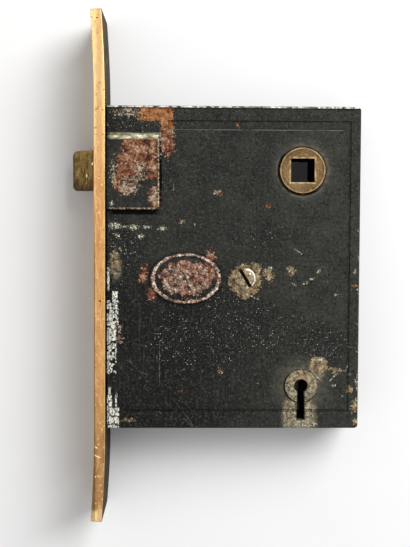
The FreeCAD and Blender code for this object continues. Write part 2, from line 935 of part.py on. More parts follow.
def make_spindle_hub():
    """Hub: two journals, a flange and two lobes whose flanks are involutes.

    An involute on a flat face moves it by the same distance for each degree, so the
    latch follows the spindle at one steady rate: the base radius times the turn.
    """
    piece = Piece("spindle_hub")
    bottom = BACK - S.hub_proud
    length = S.case_thick + S.hub_proud * 2
    cylinder(piece, HUB, S.hub_journal, bottom, length)
    flange_low = FLOOR + S.side_gap
    flange_high = CAP_UNDER - S.side_gap
    cylinder(piece, HUB, S.hub_flange, flange_low, flange_high - flange_low)
    for side in (1, -1):
        sketch = piece.sketch("XY_Plane", S.latch_axis - S.lobe_thick / 2)
        draw_curves(sketch, lobe_curves(side))
        piece.pad(sketch, S.lobe_thick)
    half = S.hub_square / 2
    milled(
        piece,
        HUB[0] - half,
        HUB[0] + half,
        HUB[1] - half,
        HUB[1] + half,
        bottom + length + OVERCUT,
        length + OVERCUT * 2,
    )


def make_latch_head():
    """Latch head: thick brass block with its bevel towards the cap side."""
    piece = Piece("latch_head")
    tip = -S.latch_projection
    profile = [
        (tip, LATCH_LOW),
        (S.latch_inside, LATCH_LOW),
        (S.latch_inside, LATCH_HIGH),
        (S.plate_thick / 2, LATCH_HIGH),
        (tip, LATCH_LOW + S.latch_nose),
    ]
    sketch = piece.sketch("XZ_Plane", -HUB_LEVEL)
    draw_polygon(sketch, profile)
    piece.pad(sketch, S.latch_height, midplane=True)
    piece.rounded(
        S.latch_round, lambda box: upright(box) and same(box.Center.x, tip)
    )
    seat = piece.sketch("YZ_Plane", S.latch_inside)
    half_height = S.shank_height / 2 + S.joint_gap
    gap = S.joint_gap
    draw_rectangle(
        seat,
        HUB_LEVEL - half_height,
        HUB_LEVEL + half_height,
        SHANK_LOW - gap,
        SHANK_LOW + S.shank_thick + gap,
    )
    piece.pocket(seat, S.shank_seat + gap)
    rivet_hole = S.latch_rivet + S.pin_gap
    drilled(piece, latch_rivet_place(), rivet_hole, LATCH_HIGH + OVERCUT, S.latch_thick + OVERCUT * 2)


def latch_rivet_place():
    """Place the latch rivet midway along the shank's seat."""
    return (S.latch_inside - S.shank_seat / 2, HUB_LEVEL)


def make_latch_fork():
    """Latch fork: a flat shank that opens round the hub, with two legs the lobes push."""
    piece = Piece("latch_fork")
    start = S.latch_inside - S.shank_seat
    shank = S.shank_height / 2
    window = BACKSET - S.fork_front
    bar = window - S.fork_bar
    contact = BACKSET + S.fork_contact_gap
    end = contact + S.fork_leg
    outer = S.fork_inner + S.fork_arm
    upper = [
        (start, shank),
        (bar, shank),
        (bar, outer),
        (end, outer),
        (end, S.fork_leg_reach),
        (contact, S.fork_leg_reach),
        (contact, S.fork_inner),
        (window, S.fork_inner),
    ]
    lower = [(x, -y) for x, y in reversed(upper)]
    sketch = piece.sketch("XY_Plane", SHANK_LOW)
    draw_polygon(sketch, [(x, HUB_LEVEL + y) for x, y in upper + lower])
    piece.pad(sketch, S.shank_thick)
    piece.rounded(
        S.fork_corner,
        lambda box: upright(box) and (same(box.Center.x, window) or same(box.Center.x, bar)),
    )
    rivet_hole = S.latch_rivet + S.pin_gap
    drilled(piece, latch_rivet_place(), rivet_hole, LATCH_HIGH, S.latch_thick)


def make_latch_rivet():
    """Rivet that joins the latch head to the fork's shank."""
    piece = Piece("latch_rivet")
    length = S.latch_thick - S.joint_gap * 2
    cylinder(piece, latch_rivet_place(), S.latch_rivet, LATCH_LOW + S.joint_gap, length)


def biarc(start, start_way, end, end_way):
    """Join two points by two arcs that keep the given directions at both ends."""
    span = end - start
    ways = start_way + end_way
    spread = 2 * (1 - start_way.dot(end_way))
    along = span.dot(ways)
    reach = (math.sqrt(along**2 + spread * span.dot(span)) - along) / spread
    first_corner = start + start_way * reach
    last_corner = end - end_way * reach
    middle = (first_corner + last_corner) / 2
    return [corner_arc(start, first_corner, middle), corner_arc(middle, last_corner, end)]


def corner_arc(start, corner, end):
    """Make the arc that touches both legs of a corner at its two ends."""
    centre = (start + end) / 2
    half = (end - start).Length / 2
    rise = corner - centre
    depth = half * math.tan(math.atan2(rise.Length, half) / 2)
    return Part.Arc(start, centre + rise * (depth / rise.Length), end).toShape()


def make_latch_spring():
    """Coil spring round the latch shank, between the latch head and the guide's washer."""
    left = S.latch_inside.number + S.side_gap.number + S.spring_wire.number / 2
    right = washer_start().number - S.joint_gap.number - S.spring_wire.number / 2
    radius = S.spring_radius.number
    turns = round((right - left) / S.spring_pitch.number)
    pitch = (right - left) / turns
    rise = pitch / (2 * math.pi)
    steps = turns * SPRING_STEPS_PER_TURN

    def place(angle):
        return FreeCAD.Vector(
            left + rise * angle,
            HUB_LEVEL.number + radius * math.cos(angle),
            S.latch_axis.number + radius * math.sin(angle),
        )

    def way(angle):
        vector = FreeCAD.Vector(rise, -radius * math.sin(angle), radius * math.cos(angle))
        return vector.normalize()

    edges = []
    for step in range(steps):
        begin = 2 * math.pi * step / SPRING_STEPS_PER_TURN
        finish = 2 * math.pi * (step + 1) / SPRING_STEPS_PER_TURN
        edges += biarc(place(begin), way(begin), place(finish), way(finish))
    section = wire_section(place(0), way(0))
    shell = Part.BRepOffsetAPI.MakePipeShell(Part.Wire(edges))
    shell.add(section)
    shell.build()
    shell.makeSolid()
    add_shape("latch_spring", shell.shape())
    gap = pitch - S.spring_wire.number
    print(f"latch spring: {turns} turns, least gap to itself {gap:.2f}")
    if gap < WIRE_CLEARANCE:
        raise RuntimeError("the latch spring's turns are too close")


def wire_section(centre, along):
    """Draw the round spring wire with a few flats, which keeps its long mesh light."""
    out = FreeCAD.Vector(0, 1, 0)
    side = along.cross(out).normalize()
    radius = S.spring_wire.number / 2
    corners = []
    for index in range(WIRE_SIDES + 1):
        turn = 2 * math.pi * index / WIRE_SIDES
        corners.append(centre + out * (radius * math.cos(turn)) + side * (radius * math.sin(turn)))
    return Part.makePolygon(corners)


def washer_start():
    """Give the front face of the spring washer, which lies on the latch guide."""
    return GUIDE - S.washer_thick - S.joint_gap


def add_shape(name, shape):
    """Put a shape that was worked out in code into the document as a node."""
    feature = DOC.addObject("Part::Feature", name)
    feature.Shape = shape
    feature.Label = name
    NODES.append(feature)


def make_spring_washer():
    """Square washer that spreads the latch spring's push over the guide's two cheeks."""
    piece = Piece("spring_washer")
    sketch = piece.sketch("YZ_Plane", washer_start())
    hole_height = S.shank_height / 2 + S.side_gap
    hole_thick = S.shank_thick / 2 + S.side_gap
    for across, up in ((S.washer_side / 2, S.washer_side / 2), (hole_height, hole_thick)):
        draw_rectangle(
            sketch,
            HUB_LEVEL - across,
            HUB_LEVEL + across,
            S.latch_axis - up,
            S.latch_axis + up,
        )
    piece.pad(sketch, S.washer_thick)


def make_deadbolt_head():
    """Dead bolt head, shown drawn in, with a seat for its tail at the rear."""
    piece = Piece("deadbolt_head")
    low = BOLT_LEVEL - S.bolt_height / 2
    half = S.bolt_thick / 2
    block(piece, 0, S.bolt_length, low, low + S.bolt_height, -half, S.bolt_thick)
    piece.rounded(
        S.bolt_edge,
        lambda box: box.XMax < SAME_PLACE,
        kind="Chamfer",
    )
    gap = S.joint_gap
    seat = piece.sketch("YZ_Plane", S.bolt_length)
    draw_rectangle(
        seat, TAIL_FOOT - gap, TAIL_CREST + gap, S.tail_low - gap, TAIL_HIGH + gap
    )
    piece.pocket(seat, S.bolt_length - S.tail_start + gap)
    rivet_hole = S.bolt_rivet + S.pin_gap
    drilled(piece, BOLT_RIVET, rivet_hole, half + OVERCUT, S.bolt_thick + OVERCUT * 2)


def make_deadbolt_tail():
    """Dead bolt tail: a steel bar with a guide slot, a talon for the key and the stump hole."""
    piece = Piece("deadbolt_tail")
    talon = BACKSET + S.bolt_throw / 2
    half_talon = S.talon_width / 2
    talon_top = TAIL_FOOT + S.talon_depth
    sketch = piece.sketch("XY_Plane", S.tail_low)
    draw_polygon(
        sketch,
        [
            (S.tail_start, TAIL_FOOT),
            (talon - half_talon, TAIL_FOOT),
            (talon - half_talon, talon_top),
            (talon + half_talon, talon_top),
            (talon + half_talon, TAIL_FOOT),
            (TAIL_END, TAIL_FOOT),
            (TAIL_END, TAIL_CREST),
            (S.tail_start, TAIL_CREST),
        ],
    )
    piece.pad(sketch, S.tail_thick)
    half_slot = S.guide_post / 2 + S.slide_gap
    x, y = GUIDE_POST
    slot = piece.sketch("XY_Plane", TAIL_HIGH)
    left, right = (x.number, y.number), ((x + S.bolt_throw).number, y.number)
    draw_curves(
        slot,
        [
            arc(around(left, half_slot, 90), around(left, half_slot, 180), around(left, half_slot, 270)),
            line(around(left, half_slot, 270), around(right, half_slot, 270)),
            arc(around(right, half_slot, 270), around(right, half_slot, 0), around(right, half_slot, 90)),
            line(around(right, half_slot, 90), around(left, half_slot, 90)),
        ],
    )
    piece.pocket(slot, S.tail_thick + OVERCUT)
    drilled(piece, STUMP, S.stump / 2 + S.pin_gap, TAIL_HIGH, S.tail_thick + OVERCUT)
    drilled(piece, BOLT_RIVET, S.bolt_rivet + S.pin_gap, TAIL_HIGH, S.tail_thick + OVERCUT)


def make_deadbolt_rivet():
    """Rivet between the dead bolt's head and the tail seated in it."""
    piece = Piece("deadbolt_rivet")
    length = S.bolt_thick - S.joint_gap * 2
    cylinder(piece, BOLT_RIVET, S.bolt_rivet, -(S.bolt_thick / 2) + S.joint_gap, length)


def make_deadbolt_stump():
    """Stump on the dead bolt's tail, which the levers' lands ride on."""
    piece = Piece("deadbolt_stump")
    top = LEVERS_TOP + S.side_gap
    cylinder(piece, STUMP, S.stump, TAIL_HIGH, top - TAIL_HIGH)
    cylinder(piece, STUMP, S.stump / 2, S.tail_low + S.joint_gap, S.tail_thick)


def make_bolt_guide_post():
    """Headed post, riveted in the case, that the dead bolt's slot slides on."""
    piece = Piece("bolt_guide_post")
    base = S.tail_low - S.side_gap
    head = TAIL_HIGH + S.side_gap
    cylinder(piece, GUIDE_POST, S.spigot, BACK, base - BACK + OVERCUT)
    cylinder(piece, GUIDE_POST, S.guide_post, base, head - base)
    cylinder(piece, GUIDE_POST, S.guide_head, head, S.guide_head_thick)


def make_lever_post():
    """Shouldered post that the three levers turn on."""
    piece = Piece("lever_post")
    shoulder = S.lever_low - S.joint_gap
    cylinder(piece, LEVER_PIVOT, S.spigot, BACK, S.back_wall + OVERCUT)
    cylinder(piece, LEVER_PIVOT, S.post_shoulder, FLOOR, shoulder - FLOOR)
    cylinder(piece, LEVER_PIVOT, S.lever_post, shoulder, CAP_UNDER - S.side_gap - shoulder)


def make_lever_spacer():
    """Spacer on the lever post that fills the room between the top lever and the cap."""
    piece = Piece("lever_spacer")
    low = LEVERS_TOP + S.joint_gap
    top = CAP_UNDER - S.side_gap
    cylinder(piece, LEVER_PIVOT, S.post_shoulder, low, top - low)
    drilled(piece, LEVER_PIVOT, S.lever_post + S.pin_gap * 2, top, top - low + OVERCUT)


def lever_curves(belly):
    """Give one lever's outline: round boss, neck, land over the stump, belly and back."""
    boss = S.lever_boss.number
    px, py = LEVER_PIVOT[0].number, LEVER_PIVOT[1].number
    kx, ky = KEY[0].number, KEY[1].number
    land = (STUMP[1] + S.stump / 2 + S.lever_land_gap).number
    thrown = (STUMP[0] - S.bolt_throw + S.stump / 2 + S.lever_shoulder_gap).number
    land_end, end = kx + S.land_end_across.number, kx + S.lever_end_across.number
    neck_low, neck_high = NECK_LOW.number, NECK_HIGH.number
    lower_x = px + boss * LEVER_THROAT
    lower = (lower_x, py - math.sqrt(boss**2 - (lower_x - px) ** 2))
    upper = (px + math.sqrt(boss**2 - (neck_high - py) ** 2), neck_high)
    belly_left = (land_end, ky + math.sqrt(belly**2 - (land_end - kx) ** 2))
    belly_right = (end, ky + math.sqrt(belly**2 - (end - kx) ** 2))
    corners = [
        lower,
        (lower_x + boss, neck_low),
        (thrown, neck_low),
        (thrown, land),
        (land_end, land),
        belly_left,
    ]
    back = [
        belly_right,
        (end, ky + S.lever_end_up.number),
        (kx + S.lever_back_across.number, neck_high),
        upper,
    ]
    curves = [line(corners[i], corners[i + 1]) for i in range(len(corners) - 1)]
    curves.append(arc(belly_left, (kx, ky + belly), belly_right))
    curves += [line(back[i], back[i + 1]) for i in range(len(back) - 1)]
    curves.append(arc(upper, (px - boss, py), lower))
    return curves


def make_lever(name, order, belly):
    """One lever of the stack, with a kerf in its back for the leaf spring."""
    piece = Piece(name)
    level = S.lever_low + S.lever_spacing * order
    sketch = piece.sketch("XY_Plane", level)
    draw_curves(sketch, lever_curves(belly.number))
    piece.pad(sketch, S.lever_thick)
    top = level + S.lever_thick
    drilled(piece, LEVER_PIVOT, S.lever_post + S.pin_gap * 2, top, S.lever_thick + OVERCUT)
    half_kerf = S.leaf_thick / 2 + S.joint_gap
    leaf = BACKSET + S.leaf_across
    milled(
        piece,
        leaf - half_kerf,
        leaf + half_kerf,
        NECK_HIGH - S.leaf_depth - S.joint_gap,
        NECK_HIGH + OVERCUT,
        top,
        S.lever_thick + OVERCUT,
    )


def make_leaf_spring(name, order):
    """Bent leaf spring: its tang stands in the lever's kerf, its tip bears on the stop pin."""
    piece = Piece(name)
    slope = S.leaf_slope.number
    lean = math.radians(slope)
    half = S.leaf_thick.number / 2
    bend = S.leaf_bend.number
    x = (BACKSET + S.leaf_across).number
    pin_x, pin_y = STOP_PIN[0].number, STOP_PIN[1].number
    clear = S.stop_pin.number / 2 + S.joint_gap.number + half
    touch = (pin_x + clear * math.sin(lean), pin_y - clear * math.cos(lean))
    corner_y = touch[1] - (touch[0] - x) * math.tan(lean)
    bend_start = corner_y - bend * math.tan((math.pi / 2 - lean) / 2)
    centre = (x + bend, bend_start)
    tip = touch[0] + S.leaf_past_pin.number
    tip_middle = (tip, corner_y + (tip - x) * math.tan(lean))
    foot = (NECK_HIGH - S.leaf_depth).number
    middle_angle = (180 + 90 + slope) / 2
    outer, inner = bend + half, bend - half
    tip_outer = (tip_middle[0] - half * math.sin(lean), tip_middle[1] + half * math.cos(lean))
    tip_inner = (tip_middle[0] + half * math.sin(lean), tip_middle[1] - half * math.cos(lean))
    outline = [
        line((x - half, foot), (x - half, bend_start)),
        arc(
            (x - half, bend_start),
            around(centre, outer, middle_angle),
            around(centre, outer, 90 + slope),
        ),
        line(around(centre, outer, 90 + slope), tip_outer),
        line(tip_outer, tip_inner),
        line(tip_inner, around(centre, inner, 90 + slope)),
        arc(
            around(centre, inner, 90 + slope),
            around(centre, inner, middle_angle),
            (x + half, bend_start),
        ),
        line((x + half, bend_start), (x + half, foot)),
        line((x + half, foot), (x - half, foot)),
    ]
    level = S.lever_low + S.lever_spacing * order + S.joint_gap
    sketch = piece.sketch("XY_Plane", level)
    draw_curves(sketch, outline)
    piece.pad(sketch, S.lever_thick - S.joint_gap * 2)


def make_spring_stop_pin():
    """Fixed pin that the three leaf springs push against."""
    piece = Piece("spring_stop_pin")
    cylinder(piece, STOP_PIN, S.stop_pin, BACK, LEVERS_TOP + S.side_gap - BACK)


def place_nodes():
    """Place every node so that the origin is the centre of the face plate."""
    for node in NODES:
        bind(node, "Placement.Base.x", -(S.plate_thick / 2))


def check_and_write():
    """Stop if anything failed, then write each node to its own file."""
    DOC.recompute()
    failed = [thing.Name for thing in DOC.Objects if {"Invalid", "Error"} & set(thing.State)]
    if failed:
        raise RuntimeError(f"these objects failed: {', '.join(failed)}")
    for node in NODES:
        if node.Shape.isNull() or not node.Shape.isValid():
            raise RuntimeError(f"{node.Label} has no valid shape")
    os.makedirs("parts", exist_ok=True)
    for node in NODES:
        node.Shape.exportStep(f"parts/{node.Label}.step")
        print(f"{node.Label}: {len(node.Shape.Solids)} solid, {node.Shape.Volume:.1f} mm3")


def main():
    """Build every sub-part, from the outside in, and write them."""
    make_face_plate()
    make_plate_screws()
    make_lock_case()
    make_case_cap()
    make_cap_screw()
    make_spindle_hub()
    make_latch_head()
    make_latch_fork()
    make_latch_rivet()
    make_latch_spring()
    make_spring_washer()
    make_deadbolt_head()
    make_deadbolt_tail()
    make_deadbolt_rivet()
    make_deadbolt_stump()
    make_bolt_guide_post()
    make_lever_post()
    make_lever_spacer()
    levers = (("lower", S.belly_lower), ("middle", S.belly_middle), ("upper", S.belly_upper))
    for order, (place, belly) in enumerate(levers):
        make_lever(f"lever_{place}", order, belly)
        make_leaf_spring(f"lever_spring_{place}", order)
    make_spring_stop_pin()
    place_nodes()
    check_and_write()


main()
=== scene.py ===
"""Looks of an old mortise door lock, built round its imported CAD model.

The lock lies on its back: face plate to the left, latch bolt out and dead bolt in.
+X runs from the face plate into the door, +Y up the plate, +Z out of the cap.
Meshes are in metres. Sizes and places in the classes below are in millimetres.
"""

import logging
import math
from dataclasses import dataclass
from enum import Enum
from functools import cache, partial

import bmesh
import bpy
from bpy.types import Material, Mesh, Node, NodeSocket, NodeTree, Object
from mathutils import Euler, Matrix, Vector, noise


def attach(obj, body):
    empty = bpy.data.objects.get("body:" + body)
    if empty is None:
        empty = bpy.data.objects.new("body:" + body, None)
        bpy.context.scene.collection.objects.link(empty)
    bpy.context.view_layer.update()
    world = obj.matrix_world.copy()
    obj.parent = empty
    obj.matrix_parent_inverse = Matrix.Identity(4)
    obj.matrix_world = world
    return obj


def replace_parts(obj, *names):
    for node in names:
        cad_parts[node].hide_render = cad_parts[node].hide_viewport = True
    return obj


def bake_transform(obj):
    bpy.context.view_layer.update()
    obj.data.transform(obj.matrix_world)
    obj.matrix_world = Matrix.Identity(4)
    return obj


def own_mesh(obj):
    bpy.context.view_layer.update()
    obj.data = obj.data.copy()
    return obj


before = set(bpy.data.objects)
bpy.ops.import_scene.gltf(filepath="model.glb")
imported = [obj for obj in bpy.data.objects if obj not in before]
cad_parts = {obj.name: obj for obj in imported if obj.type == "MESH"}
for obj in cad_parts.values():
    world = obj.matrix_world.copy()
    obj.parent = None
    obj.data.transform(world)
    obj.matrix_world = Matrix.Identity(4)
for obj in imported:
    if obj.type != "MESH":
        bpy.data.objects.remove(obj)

LOG = logging.getLogger("door_lock")
MM = 0.001
# height of the cap's flat, and the axes of the hub, the keyhole and the cap screw, in mm
CAP_LEVEL = 7.95
HUB = (55.5, 27.0)
KEYHOLE = (55.5, -32.6)
SCREW = (39.9, -2.8)
# points nearer than this in mm are one, and nearer than this in metres lie on a cut
SEAM = 0.002
TOUCH = 1e-7
# width and height of the picture
FRAME_PIXELS = (410, 547)

# nodes that are used often, each with its settings
NOISE = "ShaderNodeTexNoise"
CELLS = "ShaderNodeTexVoronoi"
FADE = ("ShaderNodeMapRange", {"interpolation_type": "SMOOTHSTEP"})
BLEND = ("ShaderNodeMix", {"data_type": "RGBA"})
CHANNELS = ("ShaderNodeSeparateColor", None)
VECTOR = ("ShaderNodeCombineXYZ", None)
TIMES = ("ShaderNodeMath", {"operation": "MULTIPLY"})
TIMES_PLUS = ("ShaderNodeMath", {"operation": "MULTIPLY_ADD"})
OVER = ("ShaderNodeMath", {"operation": "DIVIDE"})
PLUS = ("ShaderNodeMath", {"operation": "ADD"})
MINUS = ("ShaderNodeMath", {"operation": "SUBTRACT"})
UNSIGNED = ("ShaderNodeMath", {"operation": "ABSOLUTE"})
ROOT = ("ShaderNodeMath", {"operation": "SQRT"})
COSINE = ("ShaderNodeMath", {"operation": "COSINE"})
SINE = ("ShaderNodeMath", {"operation": "SINE"})
GREATER = ("ShaderNodeMath", {"operation": "MAXIMUM"})
SMALLER = ("ShaderNodeMath", {"operation": "MINIMUM"})
BELOW = ("ShaderNodeMath", {"operation": "LESS_THAN"})

Mask = Node | NodeSocket | float


def linear(code: str) -> tuple[float, float, float, float]:
    """Turn an sRGB hex colour such as "#d8ab6a" into Blender's linear colour.

    Args:
        code: the colour, with its leading hash sign.

    Returns:
        Red, green, blue and an alpha of 1.
    """
    parts = [int(code[i : i + 2], 16) / 255 for i in (1, 3, 5)]
    flat = [c / 12.92 if c <= 0.04045 else ((c + 0.055) / 1.055) ** 2.4 for c in parts]
    return (*flat, 1.0)


def add_node(tree: NodeTree, kind: str, settings: dict | None = None, wires: dict | None = None) -> Node:
    """Add a node with its settings, and fill or link its inputs.

    Args:
        tree: the node tree.
        kind: the node's type name.
        settings: values of the node's own properties.
        wires: by the input's name or number, a value, an output socket, or a node for its first output.

    Returns:
        The new node.
    """
    node = tree.nodes.new(kind)
    for key, value in (settings or {}).items():
        setattr(node, key, value)
    for key, value in (wires or {}).items():
        source = value.outputs[0] if isinstance(value, Node) else value
        if isinstance(source, NodeSocket):
            tree.links.new(source, node.inputs[key])
        else:
            node.inputs[key].default_value = source
    return node


class Kind(Enum):
    """What shows where the black japan is gone or covered, and the painted shadow beside the latch pad.
    """

    RED_RUST = "red rust"
    ORANGE_RUST = "orange rust"
    PITTED = "rust eaten down to pale pitted iron"
    WORN_METAL = "worn metal"
    POLISHED = "polished by fingers and keys"
    WHOLE_PAINT = "whole cream paint"
    BROKEN_PAINT = "broken cream paint"
    PALE_CRUST = "pale crust"
    SCRATCH = "scratch"
    DUST = "dust"
    # painted shadow under and beside the latch pad
    GRIME = "grime"


class Tones(Enum):
    """Colours that noise mixes into a patchy one, each with its noise level, from low to high."""

    RED_RUST = (
        (0.4, "#291813"), (0.455, "#63392b"), (0.51, "#82513c"), (0.57, "#98704f"), (0.65, "#c4b199"),
    )
    ORANGE_RUST = (
        (0.38, "#3a2418"), (0.44, "#7c4a29"), (0.5, "#945d33"), (0.57, "#a4744b"), (0.65, "#b89c80"),
    )
    WORN_METAL = (
        (0.39, "#2f271c"), (0.45, "#62523b"), (0.51, "#806e51"), (0.57, "#9b8868"), (0.64, "#c5b698"),
    )
    PITTED = ((0.41, "#2b2721"), (0.465, "#6b5846"), (0.52, "#97856e"), (0.59, "#c9beaa"))
    CREAM = ((0.31, "#a6b3b6"), (0.38, "#d0d2c8"), (0.5, "#e6e4d4"), (0.6, "#fbf7e6"))
    CRUST = ((0.4, "#504e3f"), (0.48, "#7f7c66"), (0.56, "#b7b39c"), (0.64, "#ebe7d8"))
    CAP_EDGE = ((0.4, "#3c3b35"), (0.47, "#8c897c"), (0.54, "#cbc7ba"), (0.62, "#f3f0e8"))
    # painted highlight on the latch pad's upper edge
    PAD_TOP_GLINT = ((0.32, "#6a6a4a"), (0.43, "#a09d76"), (0.53, "#cbc7a3"), (0.64, "#f6f1d8"))
    PAD_SIDE = ((0.38, "#4e4536"), (0.48, "#8f8269"), (0.58, "#c0b498"), (0.66, "#e0d8c2"))
    VARNISH = ((0.43, "#030303"), (0.5, "#121211"), (0.56, "#2e2e2b"), (0.63, "#5a5a53"))
    # greyer tone of the cap: a film of handling and a painted sheen of the light
    FILM_AND_SHEEN = ((0.35, "#333430"), (0.5, "#3e3f39"), (0.65, "#494a43"))
    DUST = ((0.42, "#3f3f3b"), (0.5, "#8a8983"), (0.6, "#e6e4da"))
    HANDLED = ((0.36, "#5a5240"), (0.46, "#7c725b"), (0.55, "#968c74"), (0.66, "#b4aa92"))
    LATCH = ((0.38, "#45340f"), (0.47, "#6f5626"), (0.56, "#8d6e35"), (0.66, "#a8935c"))
    PLATE_EDGE = ((0.35, "#b17f4a"), (0.5, "#cf9e62"), (0.65, "#e3b677"))
    PLATE_REAR = ((0.35, "#0d0a07"), (0.48, "#1d1710"), (0.58, "#2f271b"), (0.68, "#463b2b"))
    PLATE_FRONT = ((0.36, "#6d5534"), (0.48, "#8f7045"), (0.6, "#b08d5a"))
    OVAL_RUST = (
        (0.41, "#38211a"), (0.46, "#734334"), (0.51, "#925c46"), (0.56, "#ad8065"), (0.62, "#dbc6ac"),
    )
    OVAL_BARE = ((0.34, "#3d2f25"), (0.45, "#725c49"), (0.55, "#957d66"), (0.66, "#c9b9a0"))
    # pale rubbed rim of the medallion, with painted highlights
    OVAL_RIM_WEAR_AND_GLINT = ((0.36, "#6f4636"), (0.44, "#a87c65"), (0.52, "#dccab8"), (0.6, "#fffaf2"))
    SCRAPED = ((0.38, "#4a3e2d"), (0.46, "#6f6049"), (0.54, "#95856a"), (0.63, "#c4b699"))


@dataclass(frozen=True)
class Mark:
    """One worn or soiled place, in mm: an ellipse or a box whose rim is then made ragged."""

    x: float
    y: float
    half_x: float
    half_y: float
    turn: float = 0.0
    boxy: bool = False


@cache
def mark_group(boxy: bool) -> NodeTree:
    """Make the node group that measures how deep inside an ellipse or a box a point lies.

    Args:
        boxy: whether it is for a box.

    Returns:
        The group. Its output is the depth in mm, or the depth so far where that is more.
    """
    tree = bpy.data.node_groups.new("depth in a box" if boxy else "depth in an ellipse", "ShaderNodeTree")
    for name in ("Across", "Up", "So Far", "X", "Y", "Half X", "Half Y", "Turn"):
        tree.interface.new_socket(name, in_out="INPUT", socket_type="NodeSocketFloat")
    tree.interface.new_socket("Depth", in_out="OUTPUT", socket_type="NodeSocketFloat")
    add = partial(add_node, tree)
    given = add("NodeGroupInput").outputs
    cosine = add(*COSINE, {0: given["Turn"]})
    sine = add(*SINE, {0: given["Turn"]})
    back = add(*TIMES, {0: sine, 1: -1.0})
    x = add(*MINUS, {0: given["Across"], 1: given["X"]})
    y = add(*MINUS, {0: given["Up"], 1: given["Y"]})
    sides = []
    for first, second, half in ((cosine, sine, "Half X"), (back, cosine, "Half Y")):
        of_x = add(*TIMES, {0: x, 1: first})
        of_y = add(*TIMES, {0: y, 1: second})
        both = add(*PLUS, {0: of_x, 1: of_y})
        sides.append(add(*OVER, {0: both, 1: given[half]}))
    if boxy:
        sides = [add(*UNSIGNED, {0: side}) for side in sides]
        far = add(*GREATER, {0: sides[0], 1: sides[1]})
    else:
        squares = [add(*TIMES, {0: side, 1: side}) for side in sides]
        far = add(*ROOT, {0: add(*PLUS, dict(enumerate(squares)))})
    inside = add(*MINUS, {0: 1.0, 1: far})
    small = add(*SMALLER, {0: given["Half X"], 1: given["Half Y"]})
    deep = add(*TIMES, {0: inside, 1: small})
    add("NodeGroupOutput", None, {0: add(*GREATER, {0: given["So Far"], 1: deep})})
    return tree


